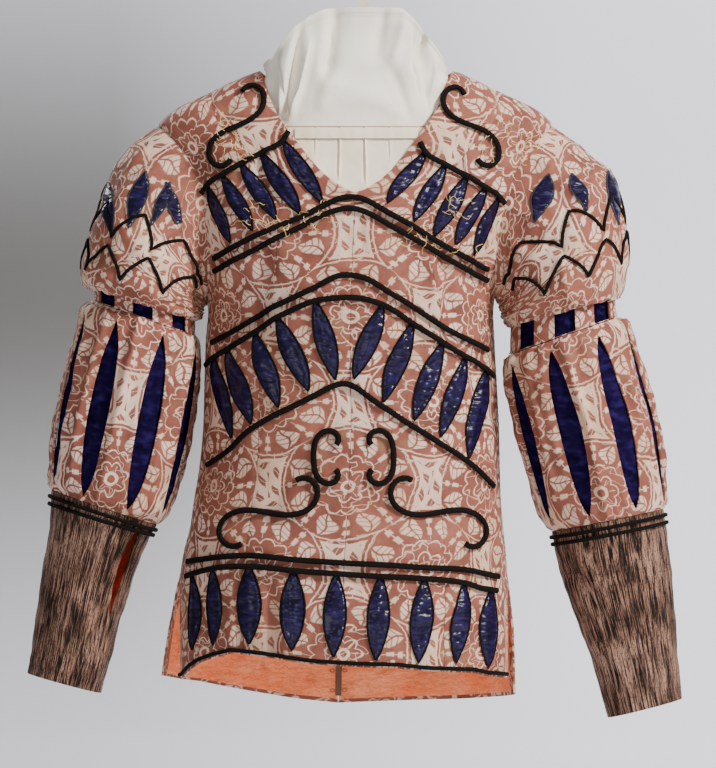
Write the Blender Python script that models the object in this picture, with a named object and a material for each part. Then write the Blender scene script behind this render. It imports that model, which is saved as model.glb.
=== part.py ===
# Doublet: slashed and corded jacket, hollow and filled out as if worn.
# Tables are in millimetres. "drop" is the distance below the top of the hanging tape,
# "x" runs to the right seen from the front, and the front faces -Y.
import math

import bpy
import numpy as np

MM = 0.001
# inside of the hanging tape's fold, which is the part's origin
HANG_POINT = np.array([12.0, -37.3, -0.9])
CLOTH = 1.8
SATIN = 1.0
WHITE_CLOTH = 1.4
SEAM_GAP = 0.32
LIE_GAP = 0.9
LEAF_GAP = 1.2
BACK_LEAF_GAP = 0.8
SHOULDER_TIP_DROP = 157.0
ARMPIT_DROP = 350.0
PRINCESS_SHARE = 0.42
CORD_WIDTH = 6.4
CORD_HEIGHT = 4.4
RAIL_WIDTH = 5.0
UNDER_SLEEVE_INSET = 4.6
COLLAR_CENTRE = 4.0
COLLAR_HALF = 98.5
COLLAR_POWER = 3.6
COLLAR_FRONT = 70.0
COLLAR_BACK = 42.0
BAND_LIFT = 1.9
ARMHOLE_INSET = 0.022

# drop, half width, centre x, front depth, back depth
TORSO = np.array([
    (90, 88, 5, 26, 29), (97, 106, 5, 32, 36), (110, 137, 4, 44, 50), (124, 165, 4, 55, 63),
    (137, 193, 4, 65, 72), (157, 217, 4, 77, 84), (190, 213, 4, 89, 95), (217, 205, 4, 96, 102),
    (250, 193, 3, 104, 106), (290, 178, 1, 110, 107), (320, 167, 0, 112, 106), (350, 158, -1, 113, 104),
    (395, 159, -2, 111.5, 100), (440, 161, -1.5, 109.5, 97), (490, 163, -1, 108, 95), (540, 166, -3, 108.5, 96),
    (570, 169, -5, 110, 99), (600, 172.5, -6, 112.5, 103), (628, 177.5, -8, 115, 107), (650, 180, -9, 117, 110),
    (700, 180.5, -9, 122, 117), (770, 180, -9, 125, 120), (830, 180, -9, 126, 121)], float)
# drop, how much wider and further left the back runs below the side vents
BACK_FLARE = np.array([(650, 0, 0), (712, 10, -3), (761, 15, -6), (830, 17, -7)], float)
# drop, half width of the front neckline
FRONT_NECK = np.array([(97, 106), (110, 100.5), (124, 96), (136, 91), (148, 85), (156, 80), (169, 71),
                       (190, 55), (216, 35), (227, 17), (234, 0)], float)
BACK_NECK = np.array([(97, 106), (103, 98), (108, 84), (112, 58), (114, 30), (115, 0)], float)
# drop, half width of the body at the armhole's edge
ARMHOLE = np.array([(157, 217), (190, 186), (217, 171), (250, 164), (290, 159), (320, 156),
                    (340, 156.5), (350, 158)], float)
# degrees round from the centre, drop
FRONT_HEM = np.array([(-90, 767), (-77, 764), (-60, 747), (-51, 740), (-42, 735), (-30, 738), (-11, 746),
                      (6, 749), (18, 750), (30, 754), (52, 757), (60, 761), (78, 764), (90, 766)], float)
BACK_HEM = np.array([(-90, 762), (-75, 765), (-52, 772), (-32, 783), (-14, 793), (0, 798), (20, 795),
                     (44, 792), (70, 787), (90, 783)], float)
# rows of the panels above the hem: drop at the centre or neck edge, drop at the side or armhole edge
FRONT_ROWS = [(700, 700), (647, 647), (600, 600), (550, 550), (500, 500), (450, 450), (400, 400), (350, 350),
              (310, 322), (270, 295), (234, 268), (216, 240), (190, 214), (156, 188), (124, 168),
              (110, 163), (102, 159.5), (97, 157)]
BACK_ROWS = [(740, 725), (695, 690), (650, 650), (600, 600), (550, 550), (500, 500), (450, 450), (400, 400),
             (350, 350), (305, 322), (260, 295), (215, 268), (175, 240), (142, 214), (115, 188), (110, 168),
             (103, 161), (97, 157)]

# inner x, inner drop, outer x, outer drop, depth of each ring down a sleeve
LEFT_SLEEVE = np.array([
    (158, 350, 217, 157, 54), (161, 354, 246, 180, 64), (163, 357, 266, 214, 72), (164, 360, 280, 250, 78),
    (165, 362, 292, 296, 81), (165, 365, 299, 322, 81), (167, 372, 295, 334, 76), (171, 371, 286, 335, 66),
    (171, 390, 286, 350, 65), (166, 398, 296, 356, 70), (167, 425, 302, 382, 73), (171, 455, 310, 412, 74),
    (177, 492, 319, 452, 73), (185, 530, 327, 492, 70), (194, 562, 331, 528, 66), (204, 588, 333, 549, 62),
    (214, 597, 331, 558, 57)], float)
RIGHT_SLEEVE = np.array([
    (158, 350, 217, 157, 54), (161, 354, 241, 174, 64), (163, 358, 266, 195, 72), (165, 362, 287, 214, 78),
    (166, 366, 299, 256, 81), (166, 371, 303, 314, 82), (169, 378, 299, 342, 77), (173, 377, 291, 346, 67),
    (172, 410, 293, 368, 66), (166, 418, 301, 374, 70), (168, 440, 309, 398, 73), (174, 468, 320, 438, 74),
    (182, 500, 331, 474, 73), (191, 535, 338, 512, 70), (199, 565, 343, 548, 66), (207, 591, 345, 570, 62),
    (219, 604, 343, 579, 58)], float)
LEFT_CUFF = np.array([(214.6, 597.4, 330.6, 558.6, 56.6), (230, 627, 333, 600, 47), (245, 671, 340, 643, 43),
                      (256, 706, 347, 693, 39), (266, 747, 353, 735, 36), (276, 782, 357, 760, 34)], float)
RIGHT_CUFF = np.array([(219.6, 604.5, 342.6, 579.5, 57.6), (227, 642, 348, 620, 49), (237, 674, 352, 655, 45),
                       (253, 718, 356, 700, 41), (264, 748, 359, 742, 38), (281, 809, 363, 788, 36)], float)
GATHER_RING = 7
BAND_RING = 8
LAST_RING = 16
# rings of the satin tube's two lengths
UNDER_SLEEVE = {"upper": [0, 1.5, 3, 4.2, 7, 7.99], "lower": [8.015, 9, 10.5, 12.5, 14.5, 15.6]}
# ring and half opening of each slash of the lower puff, and of the cuff's slit
SLASH_RINGS = [8.03, 9, 10.2, 11.5, 13, 14.4, 15.4, LAST_RING - 0.02]
SLASH_WIDTHS = [0, 0, 8, 12, 11, 6, 0, 0]
SLIT_WIDTHS = [1.5, 4.5, 3.5, 0, 0, 0]
LOWER_BULGE = 3.0
# shift of a row of petals by half a petal, height of their points and of the dips between them, lift of the cord
PETALS = 9
PETAL_ROWS = {"high": (0.0, 86, 47, 1.3, 1.3), "low": (0.5, 40, 5, 1.3, 0.95)}

# cord lines on the front as x, drop
CHEVRONS = {
    "cord_chest_chevron_upper": [(-151, 305), (-116, 287), (-57, 262), (0, 240), (53, 264), (102, 293), (148, 317)],
    "cord_chest_chevron_lower": [(-150, 319), (-103, 295), (-60, 274), (-2, 252), (53, 277), (102, 305), (147, 329)],
    "cord_waist_chevron_upper": [(-152, 397), (-130, 385), (-86, 359), (-42, 339), (-8, 324), (9, 326), (46, 346),
                                 (105, 384), (147, 405)],
    "cord_belly_chevron": [(-158, 531), (-132, 513), (-110, 493), (-80, 475), (-47, 458), (-10, 442), (32, 466),
                           (65, 488), (95, 507), (124, 528), (153, 554)],
    "cord_hem_upper": [(-178, 637), (-148, 632), (-113, 629), (-64, 633), (-14, 636), (40, 639), (80, 642),
                       (127, 645), (160, 653)],
}
# x and drop of a leaf's top and of its tip, and its half width; the cord over each row's tops has the name given
LEAF_ROWS = {
    "leaves_chest_left": ("cord_chest_left", [
        (-159, 226, -131, 288, 8), (-141, 214, -107, 276, 9), (-120, 202, -82, 264, 10),
        (-98, 190, -56, 258, 11), (-74, 177, -32, 246, 10)], 234, 168),
    "leaves_chest_right": ("cord_chest_right", [
        (79, 190, 38, 246, 10), (101, 203, 67, 266, 10), (124, 216, 90, 282, 10),
        (144, 228, 113, 291, 9), (160, 238, 133, 302, 8)], 180, 245),
    "leaves_waist": ("cord_waist_chevron_lower", [
        (-151, 414, -130, 502, 8), (-136, 405, -108, 486, 11), (-106, 386, -79, 468, 11), (-80, 370, -47, 450, 12),
        (-39, 352, -18, 438, 11), (33, 356, 2, 437, 11), (65, 376, 34, 462, 11), (97, 397, 67, 482, 11),
        (124, 413, 96, 500, 10), (147, 427, 125, 524, 9)], 422, 434),
    "leaves_hem": ("cord_hem_lower", [
        (-173, 651, -171, 733, 7), (-150, 644, -150, 727, 8), (-111, 641, -112, 725, 13), (-63, 645, -65, 731, 13),
        (-17, 648, -20, 738, 12), (31, 651, 26, 742, 12), (78, 654, 72, 745, 12), (122, 659, 113, 746, 10),
        (151, 667, 147, 752, 9)], 653, 668),
}
# x and drop of a scroll's middle, lean in degrees, half length, and whether it is a C or an S
SCROLLS = {
    "belly_scroll": (92, 582, -10, 98, False),
    "belly_curl": (43, 522, 90, 59, True),
    "shoulder_scroll": (128, 161, 20, 80, False),
}
SCROLL_CURL = 4.0
BACK_LEAVES = [(16, 662, 17, 756, 11), (60, 660, 62, 752, 12), (104, 658, 107, 746, 12), (148, 655, 151, 736, 9)]


def hermite(at, knots, values):
    # cubic through the knots, with slopes taken from their neighbours
    slopes = np.gradient(values, knots)
    at = np.clip(at, knots[0], knots[-1])
    low = np.clip(np.searchsorted(knots, at, side="right") - 1, 0, len(knots) - 2)
    step = knots[low + 1] - knots[low]
    t = (at - knots[low]) / step
    return ((1 + 2 * t) * (1 - t) ** 2 * values[low] + t * (1 - t) ** 2 * step * slopes[low]
            + t * t * (3 - 2 * t) * values[low + 1] + t * t * (t - 1) * step * slopes[low + 1])


def column(table, index, at):
    return hermite(np.asarray(at, float), table[:, 0], table[:, index])


def linear(table, at):
    return np.interp(at, table[:, 0], table[:, 1])


def body_sizes(drop, back):
    half, centre = column(TORSO, 1, drop), column(TORSO, 2, drop)
    if back:
        half = half + np.interp(drop, BACK_FLARE[:, 0], BACK_FLARE[:, 1])
        centre = centre + np.interp(drop, BACK_FLARE[:, 0], BACK_FLARE[:, 2])
    return half, centre, column(TORSO, 4 if back else 3, drop)


def body_surface(angle, drop, back=False):
    # half an ellipse at each height; the angle is in radians from the centre line towards +x
    half, centre, depth = body_sizes(drop, back)
    y = depth * np.cos(angle) * (1 if back else -1)
    return np.stack(np.broadcast_arrays(centre + half * np.sin(angle), y, -np.asarray(drop, float)), -1)


def outward(surface, u, v, centre):
    # unit normal from small steps along both directions, turned away from the centre
    small_u, small_v = 1e-3, 1e-2
    along_u = surface(u + small_u, v) - surface(u - small_u, v)
    along_v = surface(u, v + small_v) - surface(u, v - small_v)
    normal = np.cross(along_u, along_v)
    normal /= np.linalg.norm(normal, axis=-1, keepdims=True) + 1e-12
    return normal * np.sign((normal * centre).sum(-1, keepdims=True) + 1e-12)


def body_point(angle, drop, back=False, out=0.0):
    angle, drop = np.broadcast_arrays(np.asarray(angle, float), np.asarray(drop, float))
    point = body_surface(angle, drop, back)
    middle = point.copy()
    middle[..., 0] -= body_sizes(drop, back)[1]
    middle[..., 2] = 0
    normal = outward(lambda a, d: body_surface(a, d, back), angle, drop, middle)
    return point + normal * np.asarray(out)[..., None], normal


def angle_at(x, drop, back=False):
    half, centre, _ = body_sizes(drop, back)
    return np.arcsin(np.clip((x - centre) / half, -0.985, 0.985))


def edge_angle(table, drop):
    # angle of the neckline or armhole on the ellipse at this height
    half = column(TORSO, 1, drop)
    return np.arcsin(np.clip(linear(table, drop) / half, 0, 1))


def material(name, colour, roughness, metallic=0.0):
    made = bpy.data.materials.get(name)
    if made is None:
        made = bpy.data.materials.new(name)
        made.use_nodes = True
        shader = made.node_tree.nodes["Principled BSDF"]
        shader.inputs["Base Color"].default_value = (*colour, 1)
        shader.inputs["Roughness"].default_value = roughness
        shader.inputs["Metallic"].default_value = metallic
    return made


def brocade():
    return material("brocade", (0.45, 0.2, 0.14), 0.6)


def satin():
    return material("satin", (0.012, 0.012, 0.07), 0.3)


def braid():
    return material("braid", (0.008, 0.006, 0.006), 0.85)


def lame():
    return material("lame", (0.13, 0.08, 0.06), 0.4, 0.5)


def white_cloth():
    return material("white_cloth", (0.8, 0.77, 0.68), 0.8)


def closed_wall(name, outer, inner, faces, look):
    # outer and inner skins with the same faces, joined round every free edge
    count = len(outer)
    first = faces[len(faces) // 2]
    a, b, c = (outer[i] for i in first[:3])
    if np.dot(np.cross(b - a, c - a), a - inner[first[0]]) < 0:
        faces = [tuple(reversed(face)) for face in faces]
    edges = {}
    for face in faces:
        for start, end in zip(face, face[1:] + face[:1]):
            edges[(start, end)] = True
    rim = [(end, start, start + count, end + count) for start, end in edges if (end, start) not in edges]
    back = [tuple(i + count for i in reversed(face)) for face in faces]
    mesh = bpy.data.meshes.new(name)
    mesh.from_pydata([tuple(p) for p in (np.vstack([outer, inner]) - HANG_POINT) * MM], [], faces + back + rim)
    mesh.materials.append(look)
    mesh.shade_smooth()
    mesh.set_sharp_from_angle(angle=math.radians(50))
    made = bpy.data.objects.new(name, mesh)
    bpy.context.scene.collection.objects.link(made)
    return made


def grid_wall(name, outer, inner, look, closed=False, holes=()):
    rows, columns = outer.shape[:2]
    faces = []
    for i in range(rows - 1):
        for j in range(columns if closed else columns - 1):
            k = (j + 1) % columns
            if (i, j) not in holes:
                faces.append((i * columns + j, i * columns + k, (i + 1) * columns + k, (i + 1) * columns + j))
    return closed_wall(name, outer.reshape(-1, 3), inner.reshape(-1, 3), faces, look)


def panel_grid(side, share, count, back=False):
    # rows run from the hem to the shoulder between the centre edge and the side edge
    rows = BACK_ROWS if back else FRONT_ROWS
    hem = BACK_HEM if back else FRONT_HEM
    neck = BACK_NECK if back else FRONT_NECK
    margin = 0.5 * SEAM_GAP
    angles, drops = [], []
    for index in range(len(rows) + 1):
        inner_drop, outer_drop = (hem[0, 1], hem[0, 1]) if index == 0 else rows[index - 1]
        inner = edge_angle(neck, inner_drop) if inner_drop < neck[-1, 0] else 0.0
        outer = edge_angle(ARMHOLE, outer_drop) if outer_drop < ARMPIT_DROP else math.pi / 2
        width = max(outer - inner, 0.0) * 110 + abs(outer_drop - inner_drop)
        u = np.linspace(share[0] + margin / width, share[1] - margin / width, count + 1)
        angle = inner + u * (outer - inner)
        drop = inner_drop + u * (outer_drop - inner_drop)
        if index == len(rows):
            depth = column(TORSO, 4 if back else 3, drop)
            angle = math.pi / 2 - 1.3 * margin / depth
        if index == 0:
            drop = np.interp(side * np.degrees(angle), hem[:, 0], hem[:, 1])
        angles.append(side * angle)
        drops.append(drop)
    return np.array(angles), np.array(drops)


def panel(name, side, share, count, back=False):
    angles, drops = panel_grid(side, share, count, back)
    outer, normal = body_point(angles, drops, back)
    return grid_wall(name, outer, outer - normal * CLOTH, brocade())


def make_body():
    for side, word in ((-1, "left"), (1, "right")):
        panel("front_centre_" + word, side, (0, PRINCESS_SHARE), 4)
        panel("front_side_" + word, side, (PRINCESS_SHARE, 1), 5)
        panel("back_" + word, side, (0, 1), 8, back=True)


def armhole_loop(turn, side):
    # loop of the armhole: 90 degrees is the shoulder tip, 0 the front edge and -90 the armpit
    middle = 0.5 * (SHOULDER_TIP_DROP + ARMPIT_DROP)
    reach = 0.5 * (ARMPIT_DROP - SHOULDER_TIP_DROP)
    edge = middle - reach * np.sin(turn)
    angle = math.pi / 2 - (math.pi / 2 - edge_angle(ARMHOLE, edge)) * (1 - ARMHOLE_INSET)
    drop = middle - reach * (1 - ARMHOLE_INSET) * np.sin(turn)
    front, back = body_surface(side * angle, drop), body_surface(side * angle, drop, True)
    return np.where((np.cos(turn) > 0)[..., None], front, back)


def sleeve_surface(table, side, turn, ring):
    # ellipse between the inner and outer end of each ring; the first ones follow the armhole
    knots = np.arange(len(table), dtype=float)
    inner_x, inner_drop, outer_x, outer_drop, depth = (hermite(ring, knots, table[:, k]) for k in range(5))
    x = 0.5 * (inner_x + outer_x + (outer_x - inner_x) * np.sin(turn)) * side
    drop = 0.5 * (inner_drop + outer_drop + (outer_drop - inner_drop) * np.sin(turn))
    point = np.stack(np.broadcast_arrays(x, -depth * np.cos(turn), -drop), -1)
    if len(table) > GATHER_RING + 1:
        inner_x, inner_drop, outer_x, outer_drop, depth = table[0]
        first = np.stack(np.broadcast_arrays(
            0.5 * (inner_x + outer_x + (outer_x - inner_x) * np.sin(turn)) * side, -depth * np.cos(turn),
            -0.5 * (inner_drop + outer_drop + (outer_drop - inner_drop) * np.sin(turn))), -1)
        fade = np.clip(1 - ring / 3, 0, 1) ** 2
        point = point + (armhole_loop(turn, side) - first) * np.asarray(fade)[..., None]
    return point


def sleeve_point(table, side, turn, ring, out=0.0):
    turn, ring = np.broadcast_arrays(np.asarray(turn, float), np.asarray(ring, float))
    point = sleeve_surface(table, side, turn, ring)
    knots = np.arange(len(table), dtype=float)
    middle_x = 0.5 * (hermite(ring, knots, table[:, 0]) + hermite(ring, knots, table[:, 2])) * side
    middle_drop = 0.5 * (hermite(ring, knots, table[:, 1]) + hermite(ring, knots, table[:, 3]))
    centre = point - np.stack([middle_x, np.zeros_like(middle_x), -middle_drop], -1)
    ring = np.clip(ring, 0.02, len(table) - 1.02)
    normal = outward(lambda a, r: sleeve_surface(table, side, a, r), turn, ring, centre)
    return point + normal * np.asarray(out)[..., None], normal


def slashed_tube(name, table, side, turns, rings, slashes, widths, look, thick=CLOTH, bulge=0.0, closed=False):
    # columns stand midway between slashes and on both lips of each slash, which part by the row's width
    columns = []
    for index, turn in enumerate(turns):
        if turn in slashes:
            columns += [(turn, -1), (turn, 1)]
        else:
            columns.append((turn, 0))
    rings = np.asarray(rings, float)
    sizes = hermite(rings, np.arange(len(table), dtype=float), table[:, 4])
    outer = np.zeros((len(rings), len(columns), 3))
    inner = np.zeros_like(outer)
    for j, (turn, lip) in enumerate(columns):
        turn_at = math.radians(turn) + lip * np.asarray(widths) / sizes
        share = (rings - rings[0]) / (rings[-1] - rings[0])
        out = bulge * np.sin(math.pi * share) * (1 if lip == 0 else 0.15)
        point, normal = sleeve_point(table, side, turn_at, rings, out)
        outer[:, j] = point
        inner[:, j] = point - normal * thick
    index = np.arange(outer.shape[0] * outer.shape[1]).reshape(outer.shape[:2])
    for j, (turn, lip) in enumerate(columns):
        if lip == 1:
            shut = np.asarray(widths) == 0
            index[shut, j] = index[shut, j - 1]
    faces = []
    for i in range(len(rings) - 1):
        for j in range(len(columns) if closed else len(columns) - 1):
            k = (j + 1) % len(columns)
            if columns[j][1] != -1:
                faces.append((index[i, j], index[i, k], index[i + 1, k], index[i + 1, j]))
    used = sorted({i for face in faces for i in face})
    number = {old: new for new, old in enumerate(used)}
    faces = [tuple(number[i] for i in face) for face in faces]
    return closed_wall(name, outer.reshape(-1, 3)[used], inner.reshape(-1, 3)[used], faces, look)


# rings of the satin sleeve above and below the band's lower seam; it runs straight past the fold over the band


def under_sleeve(name, table, side, rings):
    turns = np.radians(np.arange(0, 360, 22.5))[None, :]
    outer, normal = sleeve_point(table, side, turns, np.array(rings)[:, None], -UNDER_SLEEVE_INSET)
    return grid_wall(name, outer, outer - normal * SATIN, satin(), closed=True)


def upper_puff(name, table, side):
    turns = np.radians(np.arange(0, 360, 18))[None, :]
    rings = np.array([0, 1, 2, 3, 4, 5, 6, GATHER_RING - 0.02])[:, None]
    outer, normal = sleeve_point(table, side, turns, rings)
    return grid_wall(name, outer, outer - normal * CLOTH, brocade(), closed=True)


def windowed_band(name, table, side):
    # satin shows through eight square windows between brocade tabs
    turns = np.radians(np.arange(-11.25, 348, 22.5))[None, :]
    rings = np.array([0.04, 0.16, 0.9, 0.97])[:, None] * (BAND_RING - GATHER_RING) + GATHER_RING
    outer, normal = sleeve_point(table, side, turns, rings)
    holes = [(1, j) for j in range(0, 16, 2)]
    return grid_wall(name, outer, outer - normal * CLOTH, brocade(), closed=True, holes=holes)


def lower_puff(name, table, side, offset, front):
    middle = 0 if front else 180
    slashes = [middle + offset + turn for turn in (-67.5, -22.5, 22.5, 67.5)]
    turns = sorted(slashes + [middle + offset + turn for turn in (-45, 0, 45)])
    edge = math.degrees(0.5 * SEAM_GAP / 70)
    turns = [middle + offset - 90 + edge] + turns + [middle + offset + 90 - edge]
    return slashed_tube(name, table, side, turns, SLASH_RINGS, slashes, SLASH_WIDTHS, brocade(), bulge=LOWER_BULGE)


def cuff(name, table, side, slit):
    turns = [float(turn) for turn in range(-180, 180, 24)]
    widths = [0, 0, 0, 0, 0, 0]
    if slit is not None:
        nearest = min(turns, key=lambda turn: abs(turn - slit))
        turns[turns.index(nearest)] = slit
        widths = SLIT_WIDTHS
    rings = [0, 1, 2, 3, 4, 5]
    slits = [slit] if slit is not None else []
    return slashed_tube(name, table, side, turns, rings, slits, widths, lame(), thick=1.4, closed=True)


def cord(name, path, normals, look=None, width=CORD_WIDTH, height=CORD_HEIGHT, closed=False):
    # flat-backed cord carried along a line on the cloth
    path, normals = np.asarray(path), np.asarray(normals)
    if closed:
        along = np.roll(path, -1, 0) - np.roll(path, 1, 0)
    else:
        along = np.gradient(path, axis=0)
    along /= np.linalg.norm(along, axis=1, keepdims=True)
    across = np.cross(along, normals)
    across /= np.linalg.norm(across, axis=1, keepdims=True)
    section = [(-0.5, 0.0), (0.5, 0.0), (0.33, 1.0), (-0.33, 1.0)]
    rings = [path + across * (side * width) + normals * (lift * height) for side, lift in section]
    points = np.stack(rings, 1)
    count, sides = points.shape[:2]
    faces = []
    for i in range(count if closed else count - 1):
        j = (i + 1) % count
        for k in range(sides):
            m = (k + 1) % sides
            faces.append((i * sides + k, j * sides + k, j * sides + m, i * sides + m))
    if not closed:
        faces.append(tuple(range(sides)))
        faces.append(tuple((count - 1) * sides + k for k in reversed(range(sides))))
    flat = points.reshape(-1, 3)
    a, b, c = (flat[i] for i in faces[0][:3])
    if np.dot(np.cross(b - a, c - a), normals[0]) > 0:
        faces = [tuple(reversed(face)) for face in faces]
    mesh = bpy.data.meshes.new(name)
    mesh.from_pydata([tuple(p) for p in (flat - HANG_POINT) * MM], [], faces)
    mesh.materials.append(look or braid())
    made = bpy.data.objects.new(name, mesh)
    bpy.context.scene.collection.objects.link(made)
    return made


def resample(points, step):
    # even steps along a line through the given points
    points = np.asarray(points, float)
    run = np.concatenate([[0], np.cumsum(np.linalg.norm(np.diff(points, axis=0), axis=1))])
    count = max(int(round(run[-1] / step)), 2)
    at = np.linspace(0, run[-1], count + 1)
    return np.stack([np.interp(at, run, points[:, k]) for k in range(points.shape[1])], -1)


def body_cord(name, line, lift=LIE_GAP, step=17.0, back=False):
    line = resample(line, step)
    angle = angle_at(line[:, 0], line[:, 1], back)
    point, normal = body_point(angle, line[:, 1], back, lift)
    return cord(name, point, normal)


def chord_rise(x, drop, half, back):
    # how far the body bulges over a straight line across a leaf
    middle, normal = body_point(angle_at(x, drop, back), drop, back)
    left = body_point(angle_at(x - half, drop, back), drop, back)[0]
    right = body_point(angle_at(x + half, drop, back), drop, back)[0]
    return max(float(np.dot(middle - 0.5 * (left + right), normal)), 0.0)


def leaf_row(name, cord_name, leaves, start_drop, end_drop, back=False, side=1):
    # leaves hang from a narrow strip that the cord over their tops covers
    gap = BACK_LEAF_GAP if back else LEAF_GAP
    leaves = [(side * top_x, top, side * tip_x, tip, half) for top_x, top, tip_x, tip, half in leaves]
    leaves = sorted(leaves)
    first, last = leaves[0], leaves[-1]
    reach = 3 if abs(first[0]) > 60 else 6
    stations = [(first[0] - reach - 2.5, start_drop)]
    for top_x, top, _, _, half in leaves:
        stations += [(top_x - 2, top), (top_x + 2, top)]
    reach = 3 if abs(last[0]) > 60 else 6
    stations.append((last[0] + reach + 2.5, end_drop))
    line = []
    for place, (x, drop) in enumerate(stations):
        line.append((x, drop))
        if 0 < place < len(stations) - 1 and place % 2 == 0:
            ahead = stations[place + 1]
            for share in (1 / 3, 2 / 3) if ahead[0] - x > 28 else ():
                line.append((x + share * (ahead[0] - x), drop + share * (ahead[1] - drop)))
    line = np.array(line)
    angle = angle_at(line[:, 0], line[:, 1], back)
    edges = []
    for shift in (-0.5 * RAIL_WIDTH, 0.5 * RAIL_WIDTH):
        edges.append(body_point(angle, line[:, 1] + shift, back, gap))
    outer = [point + normal * SATIN for pair in edges for point, normal in zip(*pair)]
    inner = [point for pair in edges for point in pair[0]]
    count = len(line)
    faces = [(i, i + 1, count + i + 1, count + i) for i in range(count - 1)]
    for top_x, top, tip_x, tip, half in leaves:
        corner = int(np.argmin(abs(line[:, 0] - (top_x - 2)) + abs(line[:, 1] - top)))
        previous = (count + corner, count + corner + 1)
        for share, swell in ((0.22, 0.72), (0.45, 1.0), (0.72, 0.8), (1.0, 0.0)):
            x = top_x + share * (tip_x - top_x)
            drop = top + 0.5 * RAIL_WIDTH + share * (tip - top - 0.5 * RAIL_WIDTH)
            ends = (-half * swell, half * swell) if swell else (0.0,)
            current = []
            rise = chord_rise(x, drop, half * swell, back)
            for shift in ends:
                place, normal = body_point(angle_at(x + shift, drop, back), drop, back, gap + rise)
                current.append(len(outer))
                outer.append(place + normal * SATIN)
                inner.append(place)
            if swell:
                faces.append((previous[0], previous[1], current[1], current[0]))
            else:
                faces.append((previous[0], previous[1], current[0]))
            previous = tuple(current)
    closed_wall(name, np.array(outer), np.array(inner), faces, satin())
    point, normal = body_point(angle, line[:, 1], back, gap + SATIN + 2 * SEAM_GAP)
    cord(cord_name, point, normal)


def scroll(side, centre_x, centre_drop, lean, size, c_shaped):
    # cord line whose curvature grows evenly from the middle to both curled ends
    s = np.linspace(-1, 1, 201)
    turn = math.radians(lean) + SCROLL_CURL * (s * abs(s) if c_shaped else s * s)
    step = size * (s[1] - s[0])
    x = np.cumsum(np.cos(turn)) * step
    drop = np.cumsum(np.sin(turn)) * step
    return np.stack([side * (x - x[100] + centre_x) + 2, drop - drop[100] + centre_drop], -1)


def make_trim():
    for name, line in CHEVRONS.items():
        body_cord(name, line)
    for name, (cord_name, leaves, start, end) in LEAF_ROWS.items():
        leaf_row(name, cord_name, leaves, start, end)
    for side, word in ((-1, "left"), (1, "right")):
        leaf_row("leaves_back_" + word, "cord_back_lower_" + word, BACK_LEAVES, 662 if side > 0 else 655,
                 655 if side > 0 else 662, back=True, side=side)
        line = [(side * x, drop) for x, drop in ((6, 646), (60, 645), (120, 643), (160, 640))]
        body_cord("cord_back_upper_" + word, line, back=True)
        for place, values in SCROLLS.items():
            body_cord("cord_" + place + "_" + word, scroll(side, *values), step=9)
    degrees = np.linspace(-82, 80, 19)
    drops = np.interp(degrees, FRONT_HEM[:, 0], FRONT_HEM[:, 1]) - 0.6 * CORD_WIDTH
    point, normal = body_point(np.radians(degrees), drops, False, LIE_GAP)
    cord("cord_hem_edge", point, normal, width=4.5, height=3.4)


def petal_cord(name, table, side, offset, peak, valley, lift):
    # pointed arches round the outside of the puff, measured up from its lowest ring
    turns = np.radians(np.arange(-50, 231, 10))
    fine = np.linspace(0.25, 5, 60)
    rings = []
    for turn in turns:
        run = sleeve_point(table, side, turn, fine)[0]
        height = np.concatenate([np.cumsum(np.linalg.norm(np.diff(run, axis=0), axis=1)[::-1])[::-1], [0]])
        wave = 1 - abs(2 * ((turn * PETALS / (2 * math.pi) + offset) % 1) - 1)
        wanted = valley + (peak - valley) * wave ** 0.65
        wanted = min(wanted, 0.8 * height[0])
        rings.append(np.interp(-wanted, -height, fine))
    point, normal = sleeve_point(table, side, turns, np.array(rings), lift)
    return cord(name, point, normal, width=4.6, height=3.2)


def cuff_cords(name, table, side):
    turns = np.radians(np.arange(0, 360, 22.5))
    for word, ring in (("upper", 0.16), ("lower", 0.36)):
        point, normal = sleeve_point(table, side, turns, np.full(16, ring), LIE_GAP + 0.7)
        cord(name + "_" + word, point, normal, width=4.4, height=3.6, closed=True)


def make_sleeves():
    settings = ((-1, "left", LEFT_SLEEVE, LEFT_CUFF, 0.0, -48.0), (1, "right", RIGHT_SLEEVE, RIGHT_CUFF, 7.5, None))
    for side, word, table, cuff_table, offset, slit in settings:
        upper_puff("upper_puff_" + word, table, side)
        for half, rings in UNDER_SLEEVE.items():
            under_sleeve("under_sleeve_%s_%s" % (half, word), table, side, rings)
        windowed_band("sleeve_band_" + word, table, side)
        lower_puff("lower_puff_front_" + word, table, side, offset, True)
        lower_puff("lower_puff_back_" + word, table, side, offset, False)
        cuff("cuff_" + word, cuff_table, side, slit)
        cuff_cords("cord_cuff_" + word, cuff_table, side)
        for row, (shift, peak, valley, lift_left, lift_right) in PETAL_ROWS.items():
            lift = lift_left if side < 0 else lift_right
            petal_cord("cord_petals_%s_%s" % (row, word), table, side, shift, peak, valley, lift)


def collar_plan(turn):
    # squarer in front, rounder behind
    power = np.where(np.cos(turn) > 0, COLLAR_POWER, 2.3)
    depth = np.where(np.cos(turn) > 0, COLLAR_FRONT, COLLAR_BACK)
    x = COLLAR_HALF * np.sign(np.sin(turn)) * abs(np.sin(turn)) ** (2 / power) + COLLAR_CENTRE
    y = -depth * np.sign(np.cos(turn)) * abs(np.cos(turn)) ** (2 / power)
    return x, y


# degrees round the neck from the front, drop of the sewn edge, drop of the hemmed top edge, lean back
COLLAR = np.array([(-180, 128, 84, -4), (-130, 124, 85, -4), (-105, 116, 90, -2), (-90, 112, 93, 2),
                   (-70, 134, 86, 4), (-55, 158, 73, 8), (-38, 161, 58, 14), (-20, 161, 41, 22), (-5, 161, 30, 26),
                   (18, 161, 31, 24), (32, 161, 45, 18), (50, 160, 67, 12), (66, 140, 81, 6), (90, 112, 93, 2),
                   (105, 116, 90, -2), (130, 124, 85, -4), (180, 128, 84, -4)], float)
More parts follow.
